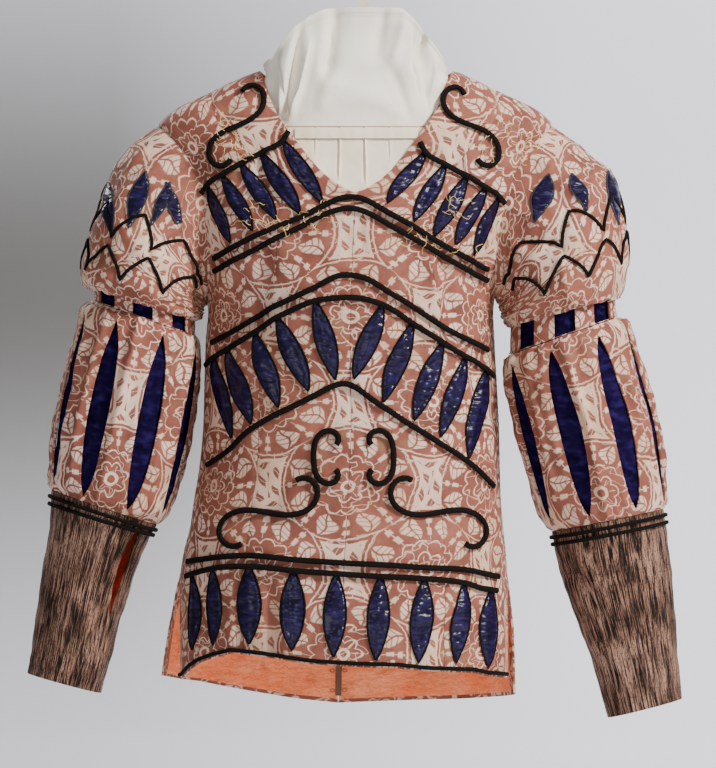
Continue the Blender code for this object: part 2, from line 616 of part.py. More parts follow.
# degrees of a collar fold at the sewn edge and at the top, depth, half width in degrees
COLLAR_FOLDS = [(-38, -14, 7, 9), (-58, -62, 6, 8), (14, 4, 5, 9), (52, 34, 6, 8)]


def collar_surface(turn, height):
    degrees = np.degrees(turn)
    x, y = collar_plan(turn)
    base = np.interp(degrees, COLLAR[:, 0], COLLAR[:, 1])
    top = np.interp(degrees, COLLAR[:, 0], COLLAR[:, 2])
    lean = np.interp(degrees, COLLAR[:, 0], COLLAR[:, 3])
    fold = 0
    for low, high, depth, half in COLLAR_FOLDS:
        at = low + (high - low) * height
        along_fold = 0.25 + 0.75 * abs(np.sin(math.pi * height)) ** 0.7
        fold = fold - depth * np.exp(-((degrees - at) / half) ** 2) * along_fold
    flare = 0.05 * np.exp(-((abs(degrees) - 88) / 24) ** 2)
    narrow = 1 + (flare - 0.03) * height ** 2 + fold / 90 * np.clip(height * 3, 0, 1)
    drop = base + (top - base) * height
    return np.stack([COLLAR_CENTRE + (x - COLLAR_CENTRE) * narrow, y * narrow + lean * height, -drop], -1)


def make_neck():
    turns = np.radians(np.linspace(-179.7, 179.7, 33))[None, :]
    heights = np.linspace(0, 1, 6)[:, None]
    turn, height = np.broadcast_arrays(turns, heights)
    outer = collar_surface(turn, height)
    along = collar_surface(turn + 1e-3, height) - collar_surface(turn - 1e-3, height)
    up = collar_surface(turn, height + 1e-3) - collar_surface(turn, height - 1e-3)
    normal = np.cross(along, up)
    normal /= np.linalg.norm(normal, axis=-1, keepdims=True)
    grid_wall("collar", outer, outer - normal * WHITE_CLOTH, white_cloth())
    make_dickey()
    make_tape()


def dickey_grid(xs, shares):
    # from the collar's sewn edge down behind the neckline
    top_drop = 162.0
    side = abs(xs - COLLAR_CENTRE) / COLLAR_HALF
    top_y = -COLLAR_FRONT * (1 - side ** COLLAR_POWER) ** (1 / COLLAR_POWER)
    neck = FRONT_NECK[::-1]
    low = np.interp(abs(xs - 4), neck[:, 1], neck[:, 0]) + 11
    low = np.maximum(low, top_drop + 8)
    half, centre, depth = body_sizes(low, False)
    low_y = -depth * np.sqrt(1 - ((xs - centre) / half) ** 2) + CLOTH + 1.2
    drop = top_drop + shares * (low - top_drop)
    return np.stack([xs + 0 * shares, top_y + shares * (low_y - top_y), -drop], -1)


def make_dickey():
    tucks = (-40, -14, 13, 40)
    xs = sorted([-80, -64, -27, 0, 27, 64, 88] + [tuck + shift for tuck in tucks for shift in (-3, 0, 3)])
    xs = np.array(xs, float)[None, :]
    shares = np.array([0, 0.2, 0.5, 0.8, 1.0])[:, None]
    outer = dickey_grid(xs, shares)
    lift = np.zeros(outer.shape[:2])
    for j, x in enumerate(xs[0]):
        if x in tucks:
            lift[1:4, j] = 1.6
    inner = outer + np.array([0, WHITE_CLOTH, 0.3])
    outer[..., 1] -= lift
    grid_wall("dickey", outer, inner, white_cloth())
    xs = np.linspace(-62, 72, 11)[None, :]
    lowest = dickey_grid(xs, np.ones((1, 1)))[..., 2]
    shares = np.array([1.0, 12.0])[:, None] / (-162 - lowest)
    inner = dickey_grid(xs, shares) - np.array([0, BAND_LIFT, 0])
    grid_wall("collar_band", inner - np.array([0, WHITE_CLOTH, 0.4]), inner, white_cloth())


def make_tape():
    # folded tape whose two ends are sewn inside the front of the collar
    half, thick = 6.0, 1.0
    middle, y = HANG_POINT[:2]
    line = [(-1.4, -54), (-1.4, -3), (-0.7, -0.9), (0.7, -0.9), (1.4, -3), (1.4, -54)]
    xs = np.array([middle - half, middle + half])[None, :]
    line = np.array(line)
    outward_line = np.array([(-1, 0), (-1, 0.3), (-0.5, 0.9), (0.5, 0.9), (1, 0.3), (1, 0)])
    outer = np.array([[(x, y + py + ny * thick, z + nz * thick) for x in xs[0]]
                      for (py, z), (ny, nz) in zip(line, outward_line)])
    inner = np.array([[(x, y + py, z) for x in xs[0]] for py, z in line])
    grid_wall("hanging_tape", outer, inner, white_cloth())


for old in list(bpy.data.objects):
    bpy.data.objects.remove(old)
make_body()
make_sleeves()
make_neck()
make_trim()
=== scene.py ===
import math

import bpy
import numpy as np
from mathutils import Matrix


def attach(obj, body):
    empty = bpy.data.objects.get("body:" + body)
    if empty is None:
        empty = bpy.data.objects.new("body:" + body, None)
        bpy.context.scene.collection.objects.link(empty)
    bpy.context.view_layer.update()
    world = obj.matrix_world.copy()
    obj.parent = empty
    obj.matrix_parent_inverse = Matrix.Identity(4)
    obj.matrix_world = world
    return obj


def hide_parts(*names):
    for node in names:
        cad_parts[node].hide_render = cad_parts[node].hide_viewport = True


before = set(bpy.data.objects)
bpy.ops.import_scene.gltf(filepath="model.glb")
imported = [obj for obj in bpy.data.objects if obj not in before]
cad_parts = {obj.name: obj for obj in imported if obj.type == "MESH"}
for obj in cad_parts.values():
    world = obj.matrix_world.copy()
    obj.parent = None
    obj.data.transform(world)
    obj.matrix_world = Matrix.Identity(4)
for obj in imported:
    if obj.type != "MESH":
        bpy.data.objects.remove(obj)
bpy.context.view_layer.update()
print("frame loaded:", len(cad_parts), "solids")

# Doublet: damask body and puffed sleeves with satin leaves, black cords, metallic cuffs and a tall white collar.
# Tables are in millimetres. "drop" is the distance below the top of the hanging tape,
# x runs to the right seen from the front, and the front faces -Y.
mm = 0.001
hangPoint = np.array([12.0, -37.3, -0.9])  # inside of the tape's fold, the frame's origin

# Camera

view = {"distance": 8.0, "frameHeight": 0.8448, "centreX": 6.6, "centreDrop": 442.2}

cameraData = bpy.data.cameras.new("camera")
cameraData.lens = cameraData.sensor_width * view["distance"] / view["frameHeight"]
cameraData.clip_end = 60
camera = bpy.data.objects.new("camera", cameraData)
camera.location = ((view["centreX"] - hangPoint[0]) * mm, -view["distance"] - hangPoint[1] * mm,
                   (-view["centreDrop"] - hangPoint[2]) * mm)
camera.rotation_euler = (math.pi / 2, 0, 0)
bpy.context.scene.collection.objects.link(camera)
bpy.context.scene.camera = camera


# Numbers in materials: arithmetic on these adds Math nodes

class amount:
    def __init__(self, tree, socket):
        self.tree, self.socket = tree, socket

    def through(self, operation, *others):
        node = self.tree.nodes.new("ShaderNodeMath")
        node.operation = operation
        for place, item in enumerate((self,) + others):
            if isinstance(item, amount):
                self.tree.links.new(item.socket, node.inputs[place])
            else:
                node.inputs[place].default_value = item
        return amount(self.tree, node.outputs[0])

    def __add__(self, other): return self.through("ADD", other)
    def __sub__(self, other): return self.through("SUBTRACT", other)
    def __mul__(self, other): return self.through("MULTIPLY", other)
    def __truediv__(self, other): return self.through("DIVIDE", other)
    def __neg__(self): return self * -1.0
    def __rsub__(self, other): return self * -1.0 + other
    __radd__, __rmul__ = __add__, __mul__

    def least(self, other): return self.through("MINIMUM", other)
    def most(self, other): return self.through("MAXIMUM", other)
    def size(self): return self.through("ABSOLUTE")
    def sine(self): return self.through("SINE")
    def cosine(self): return self.through("COSINE")
    def nearest(self): return self.through("ROUND")
    def power(self, other): return self.through("POWER", other)

    def ribs(self, width): return (self * (2 * math.pi / width)).sine() * 0.5 + 0.5
    def clip(self): return self.most(0.0).least(1.0)

    def inside(self, half, soft):
        # 1 where the value is within half of nought, fading over soft
        return ((half - self.size()) / soft + 0.5).clip()

    def above(self, edge, soft):
        return ((self - edge) / soft + 0.5).clip()

    def blend(self, low, high):
        return low + (high - low) * self if not isinstance(high, amount) else self * (high - low) + low


def makeMaterial(name, roughness, metallic=0.0, sheen=0.0, sheenTint=(1, 1, 1), specular=0.5):
    made = bpy.data.materials.new(name)
    made.use_nodes = True
    shader = made.node_tree.nodes["Principled BSDF"]
    shader.inputs["Roughness"].default_value = roughness
    shader.inputs["Metallic"].default_value = metallic
    shader.inputs["Sheen Weight"].default_value = sheen
    shader.inputs["Sheen Tint"].default_value = (*sheenTint, 1)
    shader.inputs["Sheen Roughness"].default_value = 0.4
    shader.inputs["Specular IOR Level"].default_value = specular
    return made, made.node_tree, shader


def clothPlace(tree):
    # place on the flat cloth, in millimetres across and along
    node = tree.nodes.new("ShaderNodeUVMap")
    node.uv_map = "cloth"
    split = tree.nodes.new("ShaderNodeSeparateXYZ")
    tree.links.new(node.outputs[0], split.inputs[0])
    return amount(tree, split.outputs[0]) * 1000.0, amount(tree, split.outputs[1]) * 1000.0


def objectPlace(tree):
    node = tree.nodes.new("ShaderNodeTexCoord")
    split = tree.nodes.new("ShaderNodeSeparateXYZ")
    tree.links.new(node.outputs["Object"], split.inputs[0])
    return [amount(tree, split.outputs[k]) * 1000.0 for k in range(3)]


def startCloth(name, roughness, **values):
    # a material with its place on the flat cloth and in the object
    made, tree, shader = makeMaterial(name, roughness, **values)
    return (made, tree, shader, *clothPlace(tree), objectPlace(tree))


def noise(tree, x, y, z=0.0, detail=2.0, rough=0.5, colour=False):
    # noise with one lump to each unit of x, y and z
    join = tree.nodes.new("ShaderNodeCombineXYZ")
    for place, item in enumerate((x, y, z)):
        if isinstance(item, amount):
            tree.links.new(item.socket, join.inputs[place])
        else:
            join.inputs[place].default_value = item
    node = tree.nodes.new("ShaderNodeTexNoise")
    node.inputs["Scale"].default_value = 1.0
    node.inputs["Detail"].default_value = detail
    node.inputs["Roughness"].default_value = rough
    tree.links.new(join.outputs[0], node.inputs["Vector"])
    if not colour:
        return amount(tree, node.outputs[0])
    split = tree.nodes.new("ShaderNodeSeparateColor")
    tree.links.new(node.outputs["Color"], split.inputs[0])
    return [amount(tree, split.outputs[k]) for k in range(3)]


def blotch(tree, place, size, tall=None, detail=3.0, rough=0.6, shift=0.0):
    # noise through the object, with lumps of this size in mm and this height
    x, y, z = place
    return noise(tree, x / size, z / (tall or size), y / size + shift, detail, rough)


def mixColour(tree, share, low, high, blend="MIX"):
    node = tree.nodes.new("ShaderNodeMix")
    node.data_type, node.blend_type = "RGBA", blend
    if isinstance(share, amount):
        tree.links.new(share.socket, node.inputs["Factor"])
    else:
        node.inputs["Factor"].default_value = share
    for place, colour in (("A", low), ("B", high)):
        socket = [s for s in node.inputs if s.name == place and s.type == "RGBA"][0]
        if isinstance(colour, bpy.types.NodeSocket):
            tree.links.new(colour, socket)
        else:
            socket.default_value = (*colour, 1)
    return [s for s in node.outputs if s.type == "RGBA"][0]


def finishCloth(tree, shader, colour, height, depth, roughness=None):
    # colour, roughness and a bump whose full height is depth, in millimetres
    tree.links.new(colour, shader.inputs["Base Color"])
    if roughness is not None:
        tree.links.new(roughness.socket, shader.inputs["Roughness"])
    bump = tree.nodes.new("ShaderNodeBump")
    bump.inputs["Strength"].default_value = 1.0
    bump.inputs["Distance"].default_value = depth * mm
    tree.links.new(height.socket, bump.inputs["Height"])
    tree.links.new(bump.outputs[0], shader.inputs["Normal"])


damask = {
    "rose": (0.37, 0.125, 0.082), "deepRose": (0.22, 0.070, 0.046), "cream": (0.84, 0.62, 0.49),
    "warmCream": (0.72, 0.47, 0.31), "ochre": (0.36, 0.21, 0.10),
    "tileWidth": 156.0, "tileDrop": 92.0, "wobble": 14.0, "wobbleSize": 46.0,
    "fineWobble": 2.4, "fineSize": 6.0, "bandLines": (61.0, 64.6, 78.0, 81.6), "flower": 13.0, "flowerWave": 6.0,
    "petals": 7, "ringStart": 34.0, "ringEnd": 59.0, "leaves": 8.0, "outside": 83.5,
}


def damaskPattern(tree, u, v):
    # 1 where the pale figure shows: roundels on a staggered lattice, whose banded rings meet in cusps,
    # a many-petalled flower in each, leaf sprays round it, and small leaves on pale ground between the rings
    wide, drop = damask["tileWidth"], damask["tileDrop"]
    shiftA, shiftB, _ = noise(tree, u / damask["wobbleSize"], v / damask["wobbleSize"], 3.0, 1.0, 0.5, True)
    fineA, fineB, _ = noise(tree, u / damask["fineSize"], v / damask["fineSize"], 5.0, 1.0, 0.5, True)
    u = u + (shiftA - 0.5) * damask["wobble"] + (fineA - 0.5) * damask["fineWobble"]
    v = v + (shiftB - 0.5) * damask["wobble"] + (fineB - 0.5) * damask["fineWobble"]
    places = []
    for offU, offV in ((0.0, 0.0), (0.5 * wide, drop)):
        du = u - offU - ((u - offU) / wide).nearest() * wide
        dv = v - offV - ((v - offV) / (2 * drop)).nearest() * (2 * drop)
        places.append((du, dv, (du * du + dv * dv).power(0.5)))
    first = (places[1][2] - places[0][2]).above(0.0, 0.01)
    du, dv, reach = (first.blend(far, near) for near, far in zip(*places))
    turn = dv.through("ARCTAN2", du)

    innerLine, low, high, outerLine = damask["bandLines"]
    fromBand = reach - 0.5 * (low + high)
    inBand = fromBand.inside(0.5 * (high - low), 0.5)
    bandLeaf = (turn * 22.0 + reach * 0.35).sine().above(0.15, 0.25) * fromBand.inside(3.6, 1.0)
    bandLeaf = bandLeaf * (1.0 - (turn * 44.0 + reach * 0.35).sine().inside(0.2, 0.2) * 0.8)

    # lobed flower, an outer ring of smaller lobes, and eight leaves with a vein between them
    halfPetals = turn * (0.5 * damask["petals"])
    lobes = halfPetals.cosine().size()
    petalEdge = reach - lobes * damask["flowerWave"] - damask["flower"]
    flower = petalEdge.inside(0.9, 0.8)
    heart = (reach - 5.5).inside(1.6, 0.8)
    veins = halfPetals.sine().inside(0.10, 0.10) * reach.above(8.0, 1.0)
    veins = veins * (1.0 - petalEdge.above(-4.0, 1.0))
    outerLobes = (turn * 6.5 + 0.4).cosine().size() * 5.0
    outerPetal = (reach - outerLobes - 28.0).inside(0.8, 0.8)

    inRing = reach.above(damask["ringStart"], 1.0) * (1.0 - reach.above(damask["ringEnd"], 1.0))
    leafTurn = turn * (damask["leaves"] / (2 * math.pi))
    spray = leafTurn.through("FRACT") - 0.5 + (reach * 0.22).sine() * 0.07
    along = (reach - damask["ringStart"]) * (math.pi / (damask["ringEnd"] - damask["ringStart"]))
    leafHalf = along.sine() * 0.27
    leaves = spray.inside(leafHalf, 0.05) * inRing * (1.0 - spray.inside(0.03, 0.03))
    leaves = leaves * (1.0 - (reach * 1.1 + spray.size() * 14.0).sine().above(0.75, 0.3) * 0.8)
    between = (leafTurn + 0.5).through("FRACT") - 0.5
    buds = between.inside(0.07, 0.04) * (reach - 43.0).inside(4.0, 1.0).most((reach - 54.0).inside(2.5, 1.0))
    stems = between.inside(0.012, 0.02) * inRing

    # leaves on pale ground outside the rings, and thin curling lines with small leaves through the rose ground
    blot = noise(tree, u / 14.0, v / 20.0, 11.0, 0.5, 0.4)
    drift = noise(tree, u / 19.0, v / 16.0, 17.0, 1.0, 0.45)
    sprig = blot.above(0.52, 0.05) * (1.0 - (blot - 0.60).inside(0.012, 0.02))
    pale = reach.above(damask["outside"], 1.0) * (1.0 - sprig * 0.95)
    curl = (drift - 0.52).inside(0.010, 0.018)

    figure = leaves
    for form in (stems, buds, flower, heart, veins, outerPetal, pale, curl * (1.0 - inRing) * 0.9):
        figure = figure.most(form)
    figure = (figure * (1.0 - inBand)).most(inBand * (1.0 - bandLeaf * 0.95))
    for line in (innerLine, outerLine):
        figure = figure.most((reach - line).inside(0.7, 0.9))
    return figure.clip()


def makeBrocade():
    made, tree, shader, u, v, place = startCloth("brocade", 0.5, specular=0.16)
    figure = damaskPattern(tree, u, v)
    worn = noise(tree, u / 3.1, v / 3.1, 0.0, 3.0, 0.7)
    figure = (figure * 1.12 - (worn - 0.42) * 0.42).clip()
    age = blotch(tree, place, 95.0)
    patchy = blotch(tree, place, 38.0, None, 4.0, 0.65)
    ground = mixColour(tree, patchy.above(0.52, 0.35), damask["deepRose"], damask["rose"])
    pale = mixColour(tree, age.above(0.5, 0.3), damask["warmCream"], damask["cream"])
    colour = mixColour(tree, figure, ground, pale)
    stain = blotch(tree, place, 60.0, 44.0, shift=5.0).above(0.67, 0.16) * 0.5
    colour = mixColour(tree, stain, colour, damask["ochre"])
    # fine ribs of the weave, warp slubs and the raised figure
    rib = v.ribs(0.9)
    slub = noise(tree, u / 0.7, v / 16.0, 1.0, 2.0, 0.6)
    height = rib * 0.16 + u.ribs(0.6) * 0.1 + slub * 0.35 + figure * 0.4
    dim = mixColour(tree, (slub * 0.55 + rib * 0.18).clip(), (0.62, 0.60, 0.60), (1.12, 1.12, 1.12))
    colour = mixColour(tree, 1.0, colour, dim, "MULTIPLY")
    finishCloth(tree, shader, colour, height, 0.35, figure.blend(0.62, 0.42))
    return made


satinLook = {"blue": (0.009, 0.0045, 0.030), "deepBlue": (0.0035, 0.0018, 0.011), "paintedSheenBlue": (0.020, 0.012, 0.080)}


def makeSatin(name, gloss):
    made, tree, shader, u, v, place = startCloth(name, 0.38, specular=gloss)
    crease = noise(tree, u / 15.0 + v / 40.0, v / 7.0, 0.0, 1.2, 0.5)
    fine = noise(tree, u / 1.1, v / 0.5, 0.0, 2.0, 0.6)
    patchy = blotch(tree, place, 22.0)
    colour = mixColour(tree, patchy.above(0.5, 0.5), satinLook["deepBlue"], satinLook["blue"])
    # painted highlight: the crests of the creases are painted a lighter blue, a painted sheen
    colour = mixColour(tree, crease.above(0.6, 0.25) * 0.6, colour, satinLook["paintedSheenBlue"])
    finishCloth(tree, shader, colour, crease + fine * 0.01, 3.0, patchy.blend(0.24, 0.36))
    return made


braidLook = {"black": (0.0030, 0.0022, 0.0022), "brown": (0.012, 0.008, 0.006), "strand": 2.6}


def makeBraid():
    made, tree, shader = makeMaterial("braid", 0.9, specular=0.1)
    u, v = clothPlace(tree)
    strand = (v + u * 0.9).ribs(braidLook["strand"])
    fuzz = noise(tree, u / 0.5, v / 1.4, 0.0, 3.0, 0.7)
    colour = mixColour(tree, (strand * 0.5 + fuzz * 0.7 - 0.25).clip(), braidLook["black"], braidLook["brown"])
    finishCloth(tree, shader, colour, strand * 0.7 + fuzz * 0.6, 0.7)
    return made


lameLook = {"ground": (0.010, 0.006, 0.005), "bronze": (0.26, 0.125, 0.075), "pink": (0.42, 0.235, 0.165)}


def makeLame():
    made, tree, shader, u, v, place = startCloth("lame", 0.45, metallic=0.35, specular=0.2)
    drift = noise(tree, u / 26.0, v / 70.0, 0.0, 2.0, 0.5) * 4.0
    grain = noise(tree, (u + drift) / 0.95, v / 26.0, 0.0, 2.0, 0.6)
    coarse = noise(tree, (u + drift) / 4.0, v / 70.0, 4.0, 2.0, 0.5)
    worn = blotch(tree, place, 34.0, 60.0)
    breaks = noise(tree, u / 0.9, v / 3.4, 7.0, 2.0, 0.6).above(0.40, 0.2)
    shine = (grain * 0.8 + coarse * 0.4 + worn * 0.25 - 0.25).above(0.50, 0.12) * breaks
    metal = mixColour(tree, worn.above(0.5, 0.3), lameLook["bronze"], lameLook["pink"])
    colour = mixColour(tree, shine, lameLook["ground"], metal)
    finishCloth(tree, shader, colour, shine * 0.5 + grain * 0.3, 0.3, shine.blend(0.75, 0.36))
    return made


whiteLook = {"white": (0.86, 0.81, 0.71), "cream": (0.76, 0.66, 0.49), "tan": (0.52, 0.38, 0.25)}


def makeWhite(name, body, age, weave, threads):
    made, tree, shader, u, v, place = startCloth(name, 0.8, sheen=0.2, specular=0.25)
    old = blotch(tree, place, 50.0, detail=4.0)
    spots = blotch(tree, place, 9.0, 7.0, rough=0.7).above(0.7, 0.12) * 0.25
    colour = mixColour(tree, old.above(0.55, 0.4) * 0.5, body, age)
    colour = mixColour(tree, spots, colour, whiteLook["tan"])
    crinkle = noise(tree, u / 5.0, v / 7.0, 0.0, 4.0, 0.6)
    grid = ((u * (2 * math.pi / threads)).sine() * (v * (2 * math.pi / threads)).sine()) * 0.5 + 0.5
    finishCloth(tree, shader, colour, crinkle * 0.8 + grid * 0.18, weave)
    return made


liningLook = {"salmon": (0.97, 0.21, 0.06), "faded": (0.98, 0.33, 0.14), "stain": (0.50, 0.11, 0.03)}


def makeLining():
    made, tree, shader, u, v, place = startCloth("lining", 0.42, specular=0.25)
    crush = noise(tree, u / 13.0, v / 8.0, 0.0, 4.0, 0.6)
    fade = blotch(tree, place, 45.0, 25.0)
    stain = blotch(tree, place, 30.0, 24.0, 4.0, 0.65, 3.0).above(0.62, 0.12) * 0.55
    colour = mixColour(tree, fade.above(0.5, 0.3), liningLook["salmon"], liningLook["faded"])
    colour = mixColour(tree, stain, colour, liningLook["stain"])
    # painted shade: thin darker lines in the stain colour along the crinkles, where their creases fall into shade
    colour = mixColour(tree, (crush - 0.5).inside(0.02, 0.03) * 0.35, colour, liningLook["stain"])
    finishCloth(tree, shader, colour, crush, 3.5)
    return made


def makePlain(name, colour, edge, roughness, metallic=0.0, depth=0.3, lump=0.8):
    made, tree, shader = makeMaterial(name, roughness, metallic=metallic, sheen=0.1)
    grain = blotch(tree, objectPlace(tree), lump, rough=0.65)
    finishCloth(tree, shader, mixColour(tree, grain.above(0.5, 0.5), colour, edge), grain, depth)
    return made


brocade, satin, braid, lame, lining = makeBrocade(), makeSatin("satin", 0.22), makeBraid(), makeLame(), makeLining()
innerSatin = makeSatin("innerSatin", 0.0)
whiteWool = makeWhite("collarCloth", whiteLook["white"], whiteLook["cream"], 0.5, 0.9)
muslin = makeWhite("dickeyCloth", (0.84, 0.75, 0.58), whiteLook["tan"], 0.35, 0.7)
goldThread = makePlain("goldThread", (0.62, 0.40, 0.10), (0.80, 0.62, 0.24), 0.45, 0.3)
blackThread = makePlain("blackThread", (0.006, 0.005, 0.005), (0.03, 0.024, 0.02), 0.8)
redThread = makePlain("redThread", (0.30, 0.03, 0.015), (0.42, 0.06, 0.03), 0.7)
creamThread = makePlain("creamThread", (0.62, 0.53, 0.40), (0.74, 0.66, 0.52), 0.8)
tapeCloth = makePlain("tapeCloth", (0.10, 0.045, 0.025), (0.19, 0.09, 0.05), 0.85, depth=0.4)
hookMetal = makePlain("hookMetal", (0.10, 0.08, 0.06), (0.22, 0.17, 0.12), 0.5, 0.8, depth=0.1)
print("materials made")


# Arrays and meshes

def unit(vectors):
    return vectors / (np.linalg.norm(vectors, axis=-1, keepdims=True) + 1e-12)


def runOf(path):
    # distance of each point from the first one along the path
    return np.concatenate([[0], np.cumsum(np.linalg.norm(np.diff(path, axis=0), axis=1))])


def stacked(*parts):
    return np.stack(np.broadcast_arrays(*parts), -1)


def addMesh(name, points, quads, corners, looks, slots=None, caps=(), hard=50):
    # quads index the points, corners hold each quad's four places on the flat cloth
    mesh = bpy.data.meshes.new(name)
    faces = np.asarray(quads).tolist() + [list(cap) for cap in caps]
    mesh.from_pydata(((points - hangPoint) * mm).tolist(), [], faces)
    layer = mesh.uv_layers.new(name="cloth")
    places = np.zeros((len(mesh.loops), 2))
    places[:4 * len(quads)] = np.asarray(corners).reshape(-1, 2) * mm
    layer.data.foreach_set("uv", places.ravel())
    for look in looks:
        mesh.materials.append(look)
    if slots is not None:
        mesh.polygons.foreach_set("material_index", np.asarray(slots, np.int32))
    mesh.shade_smooth()
    mesh.set_sharp_from_angle(angle=math.radians(hard))
    made = bpy.data.objects.new(name, mesh)
    bpy.context.scene.collection.objects.link(made)
    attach(made, "root")
    return made


def gridCells(rows, columns, wrap):
    # corner indices of a grid's quads, and of the same quads on a grid that doesn't close on itself
    i, j = np.meshgrid(np.arange(rows - 1), np.arange(columns if wrap else columns - 1), indexing="ij")
    k = (j + 1) % columns
    open_ = columns + 1 if wrap else columns
    quads = np.stack([i * columns + j, i * columns + k, (i + 1) * columns + k, (i + 1) * columns + j], -1)
    corners = np.stack([i * open_ + j, i * open_ + j + 1, (i + 1) * open_ + j + 1, (i + 1) * open_ + j], -1)
    return quads, corners


def closeWall(outer, inner, quads, flat):
    # the faces of both skins, and of the rim that joins them round every free edge
    a, b, d = (outer[quads[:, n]] for n in (0, 1, 3))
    if np.einsum("ij,ij->i", np.cross(b - a, d - a), a - inner[quads[:, 0]]).sum() < 0:
        quads, flat = quads[:, ::-1], flat[:, ::-1]
    count = len(outer)
    edges = np.stack([quads, np.roll(quads, -1, 1)], -1).reshape(-1, 2)
    ends = np.stack([flat, np.roll(flat, -1, 1)], -2).reshape(-1, 2, 2)
    _, where, uses = np.unique(np.sort(edges, 1) @ np.array([count, 1]), return_index=True, return_counts=True)
    free = where[uses == 1]
    rim = np.stack([edges[free, 1], edges[free, 0], edges[free, 0] + count, edges[free, 1] + count], -1)
    rimFlat = np.stack([ends[free, 1], ends[free, 0], ends[free, 0], ends[free, 1]], 1)
    return (np.vstack([outer, inner]), np.vstack([quads, quads[:, ::-1] + count, rim]),
            np.concatenate([flat, flat[:, ::-1], rimFlat]), [])


def clothWall(name, outer, inner, places, looks, wrap=False, keep=None, weld=None, turned=None):
    # outer and inner skins of one grid, joined round every free edge; looks are the outside's and the inside's,
    # and turned marks the cells whose inside shows the outer cloth
    rows, columns = outer.shape[:2]
    quads, corners = gridCells(rows, columns, wrap)
    if keep is not None:
        quads, corners = quads[keep], corners[keep]
    inside = np.ones(quads.shape[:-1]) if turned is None else 1.0 * ~turned
    inside = inside.ravel()
    quads, corners = quads.reshape(-1, 4), corners.reshape(-1, 4)
    if weld is not None:
        quads = weld[quads]
    used, quads = np.unique(quads, return_inverse=True)
    quads = quads.reshape(-1, 4)
    outer, inner = outer.reshape(-1, 3)[used], inner.reshape(-1, 3)[used]
    flat = places.reshape(-1, 2)[corners]
    points, faces, flats, _ = closeWall(outer, inner, quads, flat)
    slots = np.zeros(len(faces))
    slots[len(quads):2 * len(quads)] = inside
    return addMesh(name, points, faces, flats, looks, slots)


def ropeParts(path, normals, halfWidth, halfHeight, sides=10, closed=False, twist=0.0, strands=3, ridge=0.0):
    # an oval carried along a path, flat side to the cloth, with strands that turn round it by twist per mm
    path, normals = np.asarray(path, float), np.asarray(normals, float)
    if closed:
        along = np.roll(path, -1, 0) - np.roll(path, 1, 0)
    else:
        along = np.gradient(path, axis=0)
    along = unit(along)
    across = unit(np.cross(along, normals))
    up = np.cross(across, along)
    run = runOf(path)
    turn = np.linspace(0, 2 * math.pi, sides, endpoint=False)
    swell = 1 + ridge * np.cos(strands * (turn[None, :] - twist * run[:, None]))
    wide = halfWidth * swell * np.cos(turn)
    tall = halfHeight * swell * np.sin(turn)
    points = path[:, None] + across[:, None] * wide[..., None] + up[:, None] * tall[..., None]
    count = len(path)
    i, j = np.meshgrid(np.arange(count if closed else count - 1), np.arange(sides), indexing="ij")
    m, k = (i + 1) % count, (j + 1) % sides
    quads = np.stack([i * sides + j, i * sides + k, m * sides + k, m * sides + j], -1).reshape(-1, 4)
    lap = np.append(run, run[-1] + np.linalg.norm(path[0] - path[-1]))
    girth = math.pi * (halfWidth + halfHeight) / sides
    corners = np.stack([np.stack([j * girth, lap[i]], -1), np.stack([(j + 1) * girth, lap[i]], -1),
                        np.stack([(j + 1) * girth, lap[i + 1]], -1), np.stack([j * girth, lap[i + 1]], -1)],
                       2).reshape(-1, 4, 2)
    a, b, d = (points.reshape(-1, 3)[quads[:, n]] for n in (0, 1, 3))
    centre = path[quads[:, 0] // sides]
    if np.einsum("ij,ij->i", np.cross(b - a, d - a), a - centre).sum() < 0:
        quads, corners = quads[:, ::-1], corners[:, ::-1]
        caps = [list(range(sides)), [(count - 1) * sides + n for n in reversed(range(sides))]]
    else:
        caps = [list(reversed(range(sides))), [(count - 1) * sides + n for n in range(sides)]]
    return points.reshape(-1, 3), quads, corners, [] if closed else caps


def joinParts(name, parts, look, nodes=(), hard=60):
    # several closed bodies in one mesh
    points, quads, corners, caps, start = [], [], [], [], 0
    for partPoints, partQuads, partCorners, partCaps in parts:
        points.append(partPoints)
        quads.append(partQuads + start)
        corners.append(partCorners)
        caps += [[n + start for n in cap] for cap in partCaps]
        start += len(partPoints)
    made = addMesh(name, np.vstack(points), np.vstack(quads), np.concatenate(corners), (look,), caps=caps, hard=hard)
    if nodes:
        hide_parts(*nodes)
    return made


def shellParts(outer, inner, places):
    # a closed wall as arrays to be joined
    quads, corners = gridCells(*outer.shape[:2], False)
    flat = places.reshape(-1, 2)[corners.reshape(-1, 4)]
    return closeWall(outer.reshape(-1, 3), inner.reshape(-1, 3), quads.reshape(-1, 4), flat)


def declareCloth(piece, nodes, slot, width, length, share=1.0, held="hung"):
    # width and length of the cut in mm, and the share of that rectangle that the cut fills
    if nodes:
        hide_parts(*nodes)
    size = (width * mm, length * mm)
    share * size[0] * size[1]


# Lines and folds

def hermite(at, knots, values):
    # cubic through the knots, with slopes taken from their neighbours
    slopes = np.gradient(values, knots)
    at = np.clip(at, knots[0], knots[-1])
    low = np.clip(np.searchsorted(knots, at, side="right") - 1, 0, len(knots) - 2)
    step = knots[low + 1] - knots[low]
    t = (at - knots[low]) / step
    return ((1 + 2 * t) * (1 - t) ** 2 * values[low] + t * (1 - t) ** 2 * step * slopes[low]
            + t * t * (3 - 2 * t) * values[low + 1] + t * t * (t - 1) * step * slopes[low + 1])


def smoothLine(points, step):
    # even steps along a curve through the given points
    points = np.asarray(points, float)
    run = runOf(points)
    at = np.linspace(0, run[-1], max(int(run[-1] / step), 3) + 1)
    return np.stack([hermite(at, run, points[:, k]) for k in range(points.shape[1])], -1)


